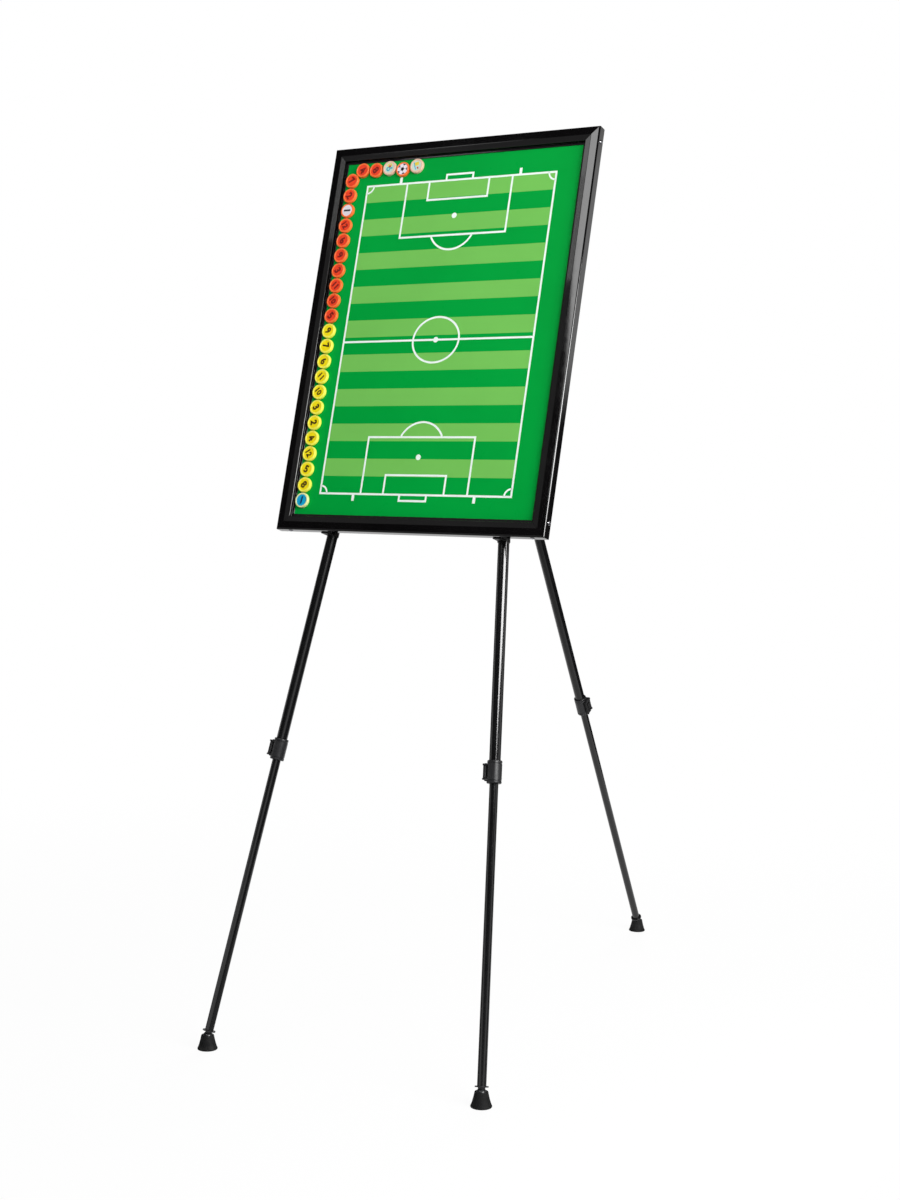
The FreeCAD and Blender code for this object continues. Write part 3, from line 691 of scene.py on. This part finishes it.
def rail_profile():
    """Section of a rail as (inwards, forwards), anticlockwise."""
    lip_front = RAIL_GROOVE_FRONT + RAIL_LIP
    facet_end = RAIL_FACE - RAIL_LIP_WIDTH
    return rounded([
        (0, 0, RAIL_BACK_ROUND),
        (RAIL_BACK_FLANGE, 0, RAIL_BACK_ROUND),
        (RAIL_BACK_FLANGE, RAIL_GROOVE_BACK, RAIL_BACK_ROUND),
        (RAIL_GROOVE_END, RAIL_GROOVE_BACK, RAIL_GROOVE_ROUND),
        (RAIL_GROOVE_END, RAIL_GROOVE_FRONT, RAIL_GROOVE_ROUND),
        (RAIL_FACE, RAIL_GROOVE_FRONT, RAIL_LIP_ROUND),
        (RAIL_FACE, lip_front, RAIL_LIP_ROUND),
        (facet_end, lip_front, RAIL_STEP_ROUND),
        (facet_end, RAIL_DEPTH - RAIL_FACET_DROP, RAIL_FACET_ROUND),
        (RAIL_CROWN_WIDTH, RAIL_DEPTH, RAIL_CROWN_ROUND),
        (0, RAIL_DEPTH - RAIL_CROWN_DROP, RAIL_EDGE_ROUND),
    ], steps=RAIL_ARC_STEPS)


def frame_rails():
    outline = rail_profile()
    eased = inset(outline, MITRE_EASE)
    for corner, node in enumerate(RAILS):
        length = (BOARD_WIDTH, BOARD_HEIGHT)[corner % 2]
        loops = []
        for section, trim in ((eased, MITRE_TRIM), (outline, MITRE_TRIM + MITRE_EASE)):
            loops.append([(inward + trim, inward, forward) for inward, forward in section])
        for section, trim in ((outline, MITRE_TRIM + MITRE_EASE), (eased, MITRE_TRIM)):
            loops.append([(length - inward - trim, inward, forward) for inward, forward in section])
        add_piece(f"{node}_moulding", Shape().add(skin(loops)), corner_frame(corner), [GLOSS_BLACK],
                  "board", [node])


def screw():
    """Pan-head screw with a cross recess, driven towards -Z."""
    height = SCREW_HEAD_HEIGHT
    shank = [(0, -SCREW_LENGTH), (SCREW_SHANK, -SCREW_LENGTH), (SCREW_SHANK, 0), (SCREW_HEAD, 0)]
    turned = lathe(shank + dome(SCREW_HEAD, 0, height, SCREW_EDGE_SHARE), steps=24)
    reach = RECESS_REACH
    half = RECESS_HALF_WIDTH
    cross = [Vector(point) for point in (
        (reach, -half), (reach, half), (half, half), (half, reach), (-half, reach), (-half, half),
        (-reach, half), (-reach, -half), (-half, -half), (-half, -reach), (half, -reach), (half, -half),
    )]
    return carve(turned, prism(cross, height - RECESS_DEPTH, height + RECESS_DEPTH))


def corner_screws():
    one = screw()
    shape = Shape()
    into_board = BOARD.inverted()
    for corner in range(len(BOARD_CORNERS)):
        here = into_board @ corner_frame(corner)
        flat = Matrix.Translation((SCREW_INSET, 0, SCREW_LEVEL)) @ Matrix.Rotation(math.pi / 2, 4, "X")
        upright = Matrix.Translation((0, SCREW_INSET, SCREW_LEVEL)) @ Matrix.Rotation(-math.pi / 2, 4, "Y")
        shape.add(one, place=here @ flat)
        shape.add(one, place=here @ upright)
    add_piece("corner_screw_set", shape, BOARD, [SCREW_ZINC], "board", ["corner_screws"])


def to_board(node):
    """A node's extents in the board's frame, in millimetres."""
    spans = []
    for axis in (ACROSS, BOARD_UP, BOARD_FRONT):
        start = BOARD_ORIGIN.dot(axis)
        spans.append([(reach - start) / MM for reach in extent(node, axis)])
    return spans


def pitch_sheet():
    """Sheet whose front is divided into the dark surround and the mown stripes."""
    (left, right), (low, high), (back, front) = to_board("pitch_sheet")
    half = PITCH_WIDTH / 2
    start = PITCH_CENTRE[1] - PITCH_LENGTH / 2
    columns = [left, PITCH_CENTRE[0] - half, PITCH_CENTRE[0] + half, right]
    rows = [low] + [start + PITCH_LENGTH * step / PITCH_STRIPES for step in range(PITCH_STRIPES + 1)] + [high]
    points = [(x, y, front) for y in rows for x in columns]
    wide = len(columns)
    faces = []
    finishes = []
    for row in range(len(rows) - 1):
        for column in range(wide - 1):
            first = row * wide + column
            faces.append((first, first + 1, first + wide + 1, first + wide))
            inside = column == 1 and 0 < row < len(rows) - 2
            finishes.append(1 if inside and row % 2 == 0 else 0)
    behind = len(points)
    points += [(left, low, back), (right, low, back), (right, high, back), (left, high, back)]
    last = (len(rows) - 1) * wide
    faces.append((behind, behind + 3, behind + 2, behind + 1))
    faces.append((behind, behind + 1, *reversed(range(wide))))
    faces.append((behind + 2, behind + 3, *range(last, last + wide)))
    faces.append((behind + 1, behind + 2, *reversed(range(wide - 1, last + wide, wide))))
    faces.append((behind + 3, behind, *range(0, last + 1, wide)))
    finishes += [0] * 5
    add_piece("pitch_sheet_print", Shape().add((points, faces), finishes), BOARD, [GRASS_DARK, GRASS_LIGHT],
              "board", ["pitch_sheet"])
    return front


def half_markings(level):
    """Lines of one half, from the middle of its goal line with Y into the pitch."""
    half = LINE_WIDTH / 2
    bands = []
    for width, depth in ((PENALTY_WIDTH, PENALTY_DEPTH), (GOAL_AREA_WIDTH, GOAL_AREA_DEPTH)):
        path = [(-width / 2, half), (-width / 2, depth), (width / 2, depth), (width / 2, half)]
        bands.append((path, LINE_WIDTH))
    goal = [(-GOAL_WIDTH / 2, -half), (-GOAL_WIDTH / 2, -GOAL_DEPTH),
            (GOAL_WIDTH / 2, -GOAL_DEPTH), (GOAL_WIDTH / 2, -half)]
    bands.append((goal, LINE_WIDTH))
    for side in (-TICK_OFFSET, TICK_OFFSET):
        bands.append(([(side, -half - TICK_LENGTH), (side, -half)], TICK_WIDTH))
    drop = math.sqrt(ARC_RADIUS ** 2 - (ARC_CHORD / 2) ** 2)
    spread_angle = math.degrees(math.asin(drop / ARC_RADIUS))
    arc_centre = (0, PENALTY_DEPTH + half - drop)
    bands.append((arc(ARC_RADIUS, 180 - spread_angle, spread_angle, arc_centre, steps=32), LINE_WIDTH))
    for side, start, end in ((-1, 0, 90), (1, 90, 180)):
        corner = (side * PITCH_WIDTH / 2, 0)
        bands.append((arc(CORNER_RADIUS, start, end, corner, steps=12), CORNER_LINE_WIDTH))
    solids = [ribbon([Vector(point) for point in path], width, level, level + INK) for path, width in bands]
    solids.append(prism(circle(SPOT_RADIUS, (0, SPOT_DISTANCE)), level, level + INK))
    return solids


def pitch_markings(level):
    shape = Shape()
    x, y = PITCH_CENTRE
    half_width = PITCH_WIDTH / 2
    half_length = PITCH_LENGTH / 2
    edge = rectangle(x - half_width, y - half_length, x + half_width, y + half_length)
    shape.add(ribbon(edge, LINE_WIDTH, level, level + INK, closed=True))
    line = LINE_WIDTH / 2
    for start, end in ((x - half_width + line, x - CIRCLE_HALF_WIDTH - line),
                       (x - CIRCLE_HALF_WIDTH + line, x + CIRCLE_HALF_WIDTH - line),
                       (x + CIRCLE_HALF_WIDTH + line, x + half_width - line)):
        run = [Vector((start, HALFWAY_LEVEL)), Vector((end, HALFWAY_LEVEL))]
        shape.add(ribbon(run, LINE_WIDTH, level, level + INK))
    ring = [Vector((x + CIRCLE_HALF_WIDTH * point.x, HALFWAY_LEVEL + CIRCLE_HALF_HEIGHT * point.y))
            for point in circle(1, steps=96)]
    shape.add(ribbon(ring, LINE_WIDTH, level, level + INK, closed=True))
    shape.add(prism(circle(SPOT_RADIUS, (x, HALFWAY_LEVEL)), level, level + SPOT_INK))
    for turn, goal_line in ((0, y - half_length), (math.pi, y + half_length)):
        place = Matrix.Translation((x, goal_line, 0)) @ Matrix.Rotation(turn, 4, "Z")
        for solid in half_markings(level):
            shape.add(solid, place=place)
    add_piece("pitch_markings", shape, BOARD, [LINE_WHITE], "board")


# Magnets

NUMBER_WORDS = ("one", "two", "three", "four", "five", "six",
                "seven", "eight", "nine", "ten", "eleven", "twelve")
# How far each numbered disc has turned from upright on the sheet, in degrees
MAGNET_TURNS = {
    "red_magnet_seven": -40, "red_magnet_two": -50, "white_keeper_magnet": -90, "red_magnet_twelve": -60,
    "red_magnet_six": -30, "red_magnet_nine": -45, "red_magnet_three": -60, "red_magnet_eleven": -45,
    "red_magnet_ten": -50, "red_magnet_five": -40, "red_magnet_four": -35, "red_magnet_eight": -50,
    "yellow_magnet_nine": -50, "yellow_magnet_seven": -75, "yellow_magnet_six": -40,
    "yellow_magnet_eleven": -45, "yellow_magnet_ten": -50, "yellow_magnet_three": -60,
    "yellow_magnet_two": -80, "yellow_magnet_four": -50, "yellow_magnet_twelve": -60,
    "yellow_magnet_five": -20, "yellow_magnet_eight": -45, "blue_keeper_magnet": -10,
}
# Finishes of a disc, by their place in its list
RIM, FACE, FIRST_INK, SECOND_INK, THIRD_INK, GROUND = range(6)
FACE_LEVEL = MAGNET_THICKNESS - MAGNET_RECESS
FACE_RADIUS = MAGNET_RADIUS - MAGNET_RIM


def magnet_cap():
    """Disc with a rounded raised rim round a sunk face, and the finish of each face."""
    top = MAGNET_THICKNESS
    round_centre = (MAGNET_RADIUS - MAGNET_EDGE_ROUND, top - MAGNET_EDGE_ROUND)
    profile = [(0, 0), (MAGNET_RADIUS - MAGNET_BASE_EASE, 0), (MAGNET_RADIUS, MAGNET_BASE_EASE)]
    profile += [tuple(point) for point in arc(MAGNET_EDGE_ROUND, 0, 90, round_centre, steps=5)]
    profile += [(FACE_RADIUS + MAGNET_RIM_SLOPE, top), (FACE_RADIUS, FACE_LEVEL), (0, FACE_LEVEL)]
    solid = lathe(profile, steps=MAGNET_STEPS)
    return solid, [RIM] * (len(solid[1]) - MAGNET_STEPS) + [FACE] * MAGNET_STEPS


def figures(node):
    """Number printed on a disc."""
    word = node.rsplit("_", 1)[1]
    number = NUMBER_WORDS.index(word) + 1 if word in NUMBER_WORDS else 1
    height = NUMERAL_HEIGHT if number < 10 else NUMERAL_PAIR_HEIGHT
    turn = Matrix.Rotation(math.radians(MAGNET_TURNS[node]), 4, "Z")
    lift = Matrix.Translation((0, 0, FACE_LEVEL))
    return [(numeral(str(number), height, NUMERAL_RELIEF), FIRST_INK, lift @ turn)]


def printed(layer):
    """Lowest and highest level of a printed layer on a disc's face."""
    return FACE_LEVEL - INK, FACE_LEVEL + INK * (2 + layer)


def patch(outline, finish, layer=0):
    """Flat printed patch on a disc's face."""
    return prism([Vector(point) for point in outline], *printed(layer)), finish, Matrix()


def band(path, width, finish, layer=0):
    """Printed line along a path on a disc's face."""
    return ribbon([Vector(point) for point in path], width, *printed(layer)), finish, Matrix()


def ball_print(_):
    """Black pentagons on white with seams between them."""
    prints = [patch(circle(BALL_PANEL, steps=BALL_SIDES), FIRST_INK)]
    rim = arc(FACE_RADIUS * PRINT_REACH_SHARE, -BALL_EDGE_ANGLE, BALL_EDGE_ANGLE, steps=6)
    edge = [Vector((BALL_EDGE_TIP, 0)), Vector((BALL_EDGE_SIDE, -BALL_EDGE_HALF))]
    edge += rim + [Vector((BALL_EDGE_SIDE, BALL_EDGE_HALF))]
    for step in range(BALL_SIDES):
        turn = Matrix.Rotation(2 * math.pi * step / BALL_SIDES, 2)
        prints.append(patch([turn @ point for point in edge], FIRST_INK))
        seam = [turn @ Vector((reach, 0)) for reach in (BALL_PANEL, BALL_EDGE_TIP)]
        prints.append(band(seam, BALL_SEAM, FIRST_INK))
    return prints


def whistle_print(_):
    """Whistle on its cord."""
    barrel = arc(WHISTLE_BARREL, WHISTLE_OPENING, 360, WHISTLE_CENTRE, steps=24)
    return [
        patch(circle(FACE_RADIUS * GROUND_SHARE), GROUND),
        patch(barrel + [Vector(point) for point in WHISTLE_MOUTHPIECE], FIRST_INK, 1),
        patch(circle(WHISTLE_HOLE, WHISTLE_CENTRE, steps=20), GROUND, 2),
        band(WHISTLE_CORD, WHISTLE_CORD_WIDTH, SECOND_INK, 2),
        patch(circle(WHISTLE_BEAD, WHISTLE_BEAD_PLACE, steps=16), THIRD_INK, 3),
    ]


def flag_print(_):
    """Touchline flag and a card."""
    return [
        patch(circle(FACE_RADIUS * GROUND_SHARE), GROUND),
        band(FLAG_STAFF, FLAG_STAFF_WIDTH, FIRST_INK, 1),
        patch(FLAG_CLOTH, SECOND_INK, 1),
        patch(CARD, THIRD_INK, 1),
    ]


MAGNET_LOOKS = {
    "red": ("magnet_red", [RED_RIM, RED_FACE, RED_INK], figures),
    "yellow": ("magnet_yellow", [YELLOW_RIM, YELLOW_FACE, YELLOW_INK], figures),
    "white": ("magnet_white", [RED_RIM, WHITE_FACE, BLACK_INK], figures),
    "blue": ("magnet_blue", [BLUE_RIM, BLUE_FACE, BLUE_INK], figures),
    "ball": ("magnet_picture", [RED_RIM, WHITE_FACE, BLACK_INK], ball_print),
    "coach": ("magnet_picture", [PICTURE_RIM, BEIGE_FACE, CYAN_INK, SUN_INK, CORAL_INK, PALE_FACE],
              whistle_print),
    "referee": ("magnet_picture", [PICTURE_RIM, BEIGE_FACE, BLUE_FACE, SUN_INK, CORAL_INK, PALE_FACE],
                flag_print),
}


def magnets():
    cap, cap_finishes = magnet_cap()
    for node in sorted(name for name in frame["nodes"] if "magnet" in name):
        slot, finishes, picture = MAGNET_LOOKS[node.split("_")[0]]
        shape = Shape().add(cap, cap_finishes)
        for solid, finish, place in picture(node):
            shape.add(solid, finish, place)
        centre = ACROSS * middle(node, ACROSS) + BOARD_UP * middle(node, BOARD_UP)
        centre += BOARD_FRONT * extent(node, BOARD_FRONT)[0]
        add_piece(f"{node}_cap", shape, local_frame(centre, ACROSS, BOARD_UP, BOARD_FRONT), finishes,
                  body_of(node), [node])


# Legs

def collar():
    """Split clamp with eased ends, a groove at each end of the grip and ears for the lever."""
    low = COLLAR_BOTTOM
    high = COLLAR_BOTTOM + COLLAR_LENGTH
    eased = COLLAR_RADIUS - COLLAR_EASE
    outside = [tuple(point) for point in arc(COLLAR_EASE, -90, 0, (eased, low + COLLAR_EASE), steps=4)]
    half = COLLAR_GROOVE_WIDTH / 2
    sunk = COLLAR_RADIUS - COLLAR_GROOVE
    for level in (low + COLLAR_GROOVE_INSET, high - COLLAR_GROOVE_INSET):
        outside += [(COLLAR_RADIUS, level - half), (sunk, level - half + COLLAR_GROOVE),
                    (sunk, level + half - COLLAR_GROOVE), (COLLAR_RADIUS, level + half)]
    outside += [tuple(point) for point in arc(COLLAR_EASE, 0, 90, (eased, high - COLLAR_EASE), steps=4)]
    inside = [(COLLAR_UPPER_BORE, high), (COLLAR_UPPER_BORE, low + COLLAR_SEAT),
              (COLLAR_LOWER_BORE, low + COLLAR_SEAT), (COLLAR_LOWER_BORE, low)]
    slot = rectangle(-COLLAR_RADIUS - OVERRUN, -SLIT_WIDTH / 2, 0, SLIT_WIDTH / 2)
    slit = prism(slot, low - OVERRUN, low + SLIT_HEIGHT)
    shape = Shape().add(carve(lathe(outside + inside, closed=True), slit))
    lever_low = (low + high - LEVER_HEIGHT) / 2
    lever_high = (low + high + LEVER_HEIGHT) / 2
    ear = rounded([
        (-PIN_SIDE - EAR_RADIUS, -PIN_FRONT - EAR_RADIUS, EAR_ROUND),
        (-COLLAR_RADIUS + 2 * EAR_RADIUS, -PIN_FRONT - EAR_RADIUS, EAR_ROOT_ROUND),
        (-COLLAR_RADIUS + 2 * EAR_RADIUS, -PIN_FRONT + EAR_RADIUS, EAR_ROOT_ROUND),
        (-PIN_SIDE - EAR_RADIUS, -PIN_FRONT + EAR_RADIUS, EAR_ROUND),
    ])
    for start in (lever_low - EAR_GAP - EAR_THICKNESS, lever_high + EAR_GAP):
        shape.add(prism(ear, start, start + EAR_THICKNESS, EAR_EASE))
    return shape


def lever():
    """Ridged paddle with a finger tab, on a cam with its trunnions."""
    middle_level = COLLAR_BOTTOM + COLLAR_LENGTH / 2
    low = middle_level - LEVER_HEIGHT / 2
    high = middle_level + LEVER_HEIGHT / 2
    outer = -PIN_SIDE - LEVER_THICKNESS / 2
    end = LEVER_REACH - PIN_FRONT
    shape = Shape()
    flap = rectangle(outer, -PIN_FRONT, outer + LEVER_THICKNESS, end, LEVER_ROUND)
    shape.add(prism(flap, low, high, LEVER_EASE))
    paddle_low = middle_level - PADDLE_HEIGHT / 2
    paddle_high = middle_level + PADDLE_HEIGHT / 2
    paddle = rectangle(outer, PADDLE_START - PIN_FRONT, outer + LEVER_THICKNESS, end, LEVER_ROUND)
    shape.add(prism(paddle, paddle_low, paddle_high, LEVER_EASE))
    tab = rectangle(-PIN_SIDE - TAB_LENGTH, end - TAB_THICKNESS, outer + LEVER_THICKNESS, end, TAB_ROUND)
    shape.add(prism(tab, paddle_low, paddle_high, LEVER_EASE))
    cam = circle(CAM_RADIUS, (-PIN_SIDE * CAM_SHARE, -PIN_FRONT * CAM_SHARE))
    shape.add(prism(cam, low, high, LEVER_EASE))
    pin = circle(PIN_RADIUS, (-PIN_SIDE, -PIN_FRONT), steps=24)
    shape.add(prism(pin, low - EAR_GAP - EAR_THICKNESS, high + EAR_GAP + EAR_THICKNESS, PIN_EASE))
    for step in range(RIDGE_COUNT):
        along = RIDGE_START + RIDGE_PITCH * step - PIN_FRONT
        ridge = circle(RIDGE_RADIUS, (outer + RIDGE_SINK, along), steps=12)
        shape.add(prism(ridge, low + RIDGE_MARGIN, high - RIDGE_MARGIN, RIDGE_EASE))
    return shape


def foot():
    """Bell-shaped foot with a sunk sole and a flared ball socket."""
    flank_top = FOOT_HEIGHT - FOOT_SHOULDER
    profile = [(0, SOLE_DEPTH), (SOLE_RING, SOLE_DEPTH), (SOLE_RING + SOLE_DEPTH, 0)]
    ease_centre = (FOOT_RADIUS - FOOT_EASE, FOOT_EASE)
    profile += [tuple(point) for point in arc(FOOT_EASE, -90, 0, ease_centre, steps=5)]
    neck = FOOT_RADIUS - FOOT_RIM_STEP
    profile.append((FOOT_RADIUS, FOOT_RIM_HEIGHT - FOOT_RIM_STEP))
    profile.append((FOOT_RADIUS - FOOT_RIM_STEP / 2, FOOT_RIM_HEIGHT))
    for step in range(1, FLANK_STEPS + 1):
        share = step / FLANK_STEPS
        bow = FOOT_BOW * math.sin(math.pi * share)
        radius = neck + (FOOT_TOP_RADIUS - neck) * share - bow
        profile.append((radius, FOOT_RIM_HEIGHT + (flank_top - FOOT_RIM_HEIGHT) * share))
    shoulder = FOOT_TOP_RADIUS - FLARE_RADIUS - FLARE_MARGIN
    for step in range(1, SHOULDER_STEPS + 1):
        angle = math.pi / 2 * step / SHOULDER_STEPS
        radius = FOOT_TOP_RADIUS - shoulder * (1 - math.cos(angle))
        profile.append((radius, flank_top + FOOT_SHOULDER * math.sin(angle)))
    profile.append((FLARE_RADIUS, FOOT_HEIGHT))
    lip_angle = math.degrees(math.asin(SOCKET_LIP / SOCKET_RADIUS))
    socket = arc(SOCKET_RADIUS, lip_angle, SOCKET_END, (0, SOCKET_LEVEL), steps=12)
    profile += [tuple(point) for point in socket]
    profile.append((0, SOCKET_LEVEL - SOCKET_RADIUS))
    return Shape().add(lathe(profile))


def legs():
    for side in ("left", "right", "rear"):
        place = leg_frame(side)
        add_piece(f"{side}_collar_clamp", collar(), place, [LOCK_BLACK], f"{side}_upper_leg",
                  [f"{side}_lock_collar"])
        add_piece(f"{side}_lever_flap", lever(), place, [LEVER_BLACK], f"{side}_lever",
                  [f"{side}_lock_lever"])
        ground = Vector(joint(f"{side}_foot_tilt")["pos_m"])
        ground.z = 0
        standing = local_frame(ground, ACROSS, Vector((0, 1, 0)), Vector((0, 0, 1)))
        add_piece(f"{side}_foot_bell", foot(), standing, [RUBBER], f"{side}_foot",
                  [f"{side}_rubber_foot"], sharp_angle=FOOT_SHARP_ANGLE)
        dress_node(f"{side}_upper_tube", TUBE_BLACK)
        dress_node(f"{side}_lower_tube", TUBE_BLACK)
        dress_node(f"{side}_foot_plug", LOCK_BLACK)
        dress_node(f"{side}_guide_bush", NYLON)


# Head and supports

def rivets():
    """Domed rivets, two along the board's front direction and one across."""
    end = RIVET_HALF_GRIP
    half = [(RIVET_RADIUS, end), (RIVET_HEAD_RADIUS, end)]
    half += dome(RIVET_HEAD_RADIUS, end, RIVET_HEAD_HEIGHT, RIVET_EDGE_SHARE)
    turned = lathe([(radius, -height) for radius, height in reversed(half)] + half, steps=32)
    shape = Shape()
    for side in ("left", "right", "rear"):
        pivot = Vector(joint(f"{side}_leg_fold")["pos_m"])
        axis = ACROSS if side == "rear" else BOARD_FRONT
        across = BOARD_UP.cross(axis)
        shape.add(turned, place=local_frame(pivot, across, BOARD_UP, axis))
    add_piece("head_rivet_set", shape, Matrix(), [RIVET_STEEL], "head", ["head_rivets"])


def stand():
    legs()
    rivets()
    dress_node("easel_head", HEAD_BLACK, HEAD_EASE)
    for side in ("left", "right"):
        dress_node(f"{side}_board_support", SUPPORT_BLACK, SUPPORT_EASE)


def board():
    frame_rails()
    corner_screws()
    pitch_markings(pitch_sheet())
    magnets()
    dress_node("backing_panel", HARDBOARD)
    dress_node("corner_keys", NYLON)


# Studio

# Floor, in metres: how far it reaches, where its shadow fades, and how strongly gloss mirrors it
FLOOR_REACH = 3.2
FLOOR_RIGHT = 0.75
FLOOR_DROP = 0.0002
FLOOR_COLOUR = (0.93, 0.93, 0.93)
FLOOR_GLOW_SHARE = 0.94
FLOOR_FADE_START = 0.6
FLOOR_FADE_END = 2.2
FLOOR_MIRROR_FRONT = -0.55
FLOOR_MIRROR_BACK = 0.4
FLOOR_MIRROR_LEVEL = 0.2
FILL_STRENGTH = 0.13
# Bright band that gloss mirrors, where its lower and upper edges fade, in degrees above the horizon
BAND_LOW = (1.5, 3.8)
BAND_HIGH = (9.0, 13.5)
DARK_LEVEL = 0.02
# Name, place and aim, width and height, watts, roll in degrees, and whether surfaces mirror the light
LAMPS = (
    ("right_softbox", (2.28, -1.10, 1.70), (0.15, -0.33, 0.62), (2.0, 0.58), 84.5, 0.0, True),
    ("front_softbox", (-0.206, -1.7, 2.254), (-0.206, 0, 2.254), (0.48, 1.5), 12.2, 12.4, True),
    ("left_card", (-1.08, -1.7, 2.0), (-1.08, 0, 2.0), (1.05, 1.2), 0.8, 0.0, True),
    ("upper_card", (-1.17, -1.7, 2.6), (-1.17, 0, 2.6), (0.3, 0.7), 1.4, 0.0, True),
    ("back_softbox", (-0.8, 2.4, 1.9), (0, 0, 0.9), (1.6, 1.2), 55.0, 0.0, False),
)


def larger(tree, first, second):
    return add_node(tree, "ShaderNodeMath", {0: first, 1: second}, operation="MAXIMUM").outputs[0]


def smooth_step(tree, value, start, end, first, last):
    """Value that goes smoothly from one level to another between two bounds."""
    return add_node(tree, "ShaderNodeMapRange", {
        "Value": value, "From Min": start, "From Max": end, "To Min": first, "To Max": last,
    }, interpolation_type="SMOOTHSTEP").outputs["Result"]


def seen_directly(tree):
    """1 where a camera, glossy or transmission ray looks, else 0."""
    path = add_node(tree, "ShaderNodeLightPath")
    seen = path.outputs["Is Camera Ray"]
    for ray in ("Is Glossy Ray", "Is Transmission Ray"):
        seen = larger(tree, seen, path.outputs[ray])
    return path, seen


def studio_world():
    """White to the camera, a dark room with a bright band to gloss, and an even fill on the object."""
    world = bpy.data.worlds.new("studio")
    bpy.context.scene.world = world
    world.use_nodes = True
    tree = world.node_tree
    tree.nodes.clear()
    path, seen = seen_directly(tree)
    way = add_node(tree, "ShaderNodeTexCoord").outputs["Generated"]
    height = add_node(tree, "ShaderNodeSeparateXYZ", {"Vector": way}).outputs["Z"]
    sides = []
    for band_angles, first, last in ((BAND_LOW, DARK_LEVEL, 1.0), (BAND_HIGH, 1.0, DARK_LEVEL)):
        start, end = (math.sin(math.radians(angle)) for angle in band_angles)
        sides.append(smooth_step(tree, height, start, end, first, last))
    shade = add_node(tree, "ShaderNodeMath", {0: sides[0], 1: sides[1]}, operation="MINIMUM").outputs[0]
    white = larger(tree, shade, path.outputs["Is Camera Ray"])
    backdrop = add_node(tree, "ShaderNodeBackground", {"Color": white})
    fill = add_node(tree, "ShaderNodeBackground", {"Color": (1, 1, 1, 1), "Strength": FILL_STRENGTH})
    mixed = add_node(tree, "ShaderNodeMixShader", {0: seen, 1: fill.outputs[0], 2: backdrop.outputs[0]})
    add_node(tree, "ShaderNodeOutputWorld", {"Surface": mixed.outputs[0]})


def studio_floor():
    """Pale floor that turns white with distance, and mirrors darkly in front of the object."""
    material = bpy.data.materials.new("studio_floor")
    material.use_nodes = True
    tree = material.node_tree
    shader = tree.nodes["Principled BSDF"]
    shader.inputs["Base Color"].default_value = (*FLOOR_COLOUR, 1)
    shader.inputs["Roughness"].default_value = 1.0
    shader.inputs["Specular IOR Level"].default_value = 0.0
    path, seen = seen_directly(tree)
    place = add_node(tree, "ShaderNodeTexCoord").outputs["Object"]
    distance = add_node(tree, "ShaderNodeVectorMath", {0: place}, operation="LENGTH").outputs["Value"]
    far = smooth_step(tree, distance, FLOOR_FADE_START, FLOOR_FADE_END, FLOOR_GLOW_SHARE, 1.0)
    share = add_node(tree, "ShaderNodeMath", {0: far, 1: seen}, operation="MULTIPLY").outputs[0]
    depth = add_node(tree, "ShaderNodeSeparateXYZ", {"Vector": place}).outputs["Y"]
    mirrored = smooth_step(tree, depth, FLOOR_MIRROR_FRONT, FLOOR_MIRROR_BACK, FLOOR_MIRROR_LEVEL, 1.0)
    strength = larger(tree, mirrored, path.outputs["Is Camera Ray"])
    glow = add_node(tree, "ShaderNodeEmission", {"Color": (1, 1, 1, 1), "Strength": strength})
    mixed = add_node(tree, "ShaderNodeMixShader", {0: share, 1: shader.outputs[0], 2: glow.outputs[0]})
    tree.links.new(mixed.outputs[0], tree.nodes["Material Output"].inputs["Surface"])
    mesh = bpy.data.meshes.new("studio_floor")
    outline = rectangle(-FLOOR_REACH, -FLOOR_REACH, FLOOR_RIGHT, FLOOR_REACH)
    points = [(x, y, -FLOOR_DROP) for x, y in outline]
    mesh.from_pydata(points, [], [tuple(range(len(points)))])
    mesh.materials.append(material)
    floor = bpy.data.objects.new("studio_floor", mesh)
    bpy.context.scene.collection.objects.link(floor)


def lamp(name, place, target, size, watts, roll, mirrored):
    """Rectangular soft light aimed at a point and rolled about its aim."""
    light = bpy.data.lights.new(name, "AREA")
    light.shape = "RECTANGLE"
    light.size, light.size_y = size
    light.energy = watts
    thing = bpy.data.objects.new(name, light)
    aim = Vector(target) - Vector(place)
    turn = aim.to_track_quat("-Z", "Y").to_matrix().to_4x4() @ Matrix.Rotation(math.radians(roll), 4, "Z")
    thing.matrix_world = Matrix.Translation(place) @ turn
    thing.visible_camera = False
    thing.visible_glossy = mirrored
    bpy.context.scene.collection.objects.link(thing)


def studio_camera():
    yaw, pitch, roll = (math.radians(angle) for angle in (CAMERA_YAW, CAMERA_PITCH, CAMERA_ROLL))
    behind = Vector((math.sin(yaw) * math.cos(pitch), -math.cos(yaw) * math.cos(pitch), math.sin(pitch)))
    level = Vector((math.cos(yaw), math.sin(yaw), 0))
    upright = behind.cross(level)
    right = level * math.cos(roll) + upright * math.sin(roll)
    up = upright * math.cos(roll) - level * math.sin(roll)
    data = bpy.data.cameras.new("camera")
    data.sensor_width = SENSOR
    data.lens = SENSOR * CAMERA_FOCAL_PIXELS / IMAGE_HEIGHT
    camera = bpy.data.objects.new("camera", data)
    turn = Matrix((right, up, behind)).transposed().to_4x4()
    camera.matrix_world = Matrix.Translation(CAMERA_PLACE) @ turn
    bpy.context.scene.collection.objects.link(camera)
    bpy.context.scene.camera = camera


def studio():
    bpy.context.scene.view_settings.view_transform = "Standard"
    studio_world()
    studio_floor()
    for settings in LAMPS:
        lamp(*settings)
    studio_camera()


board()
stand()
studio()
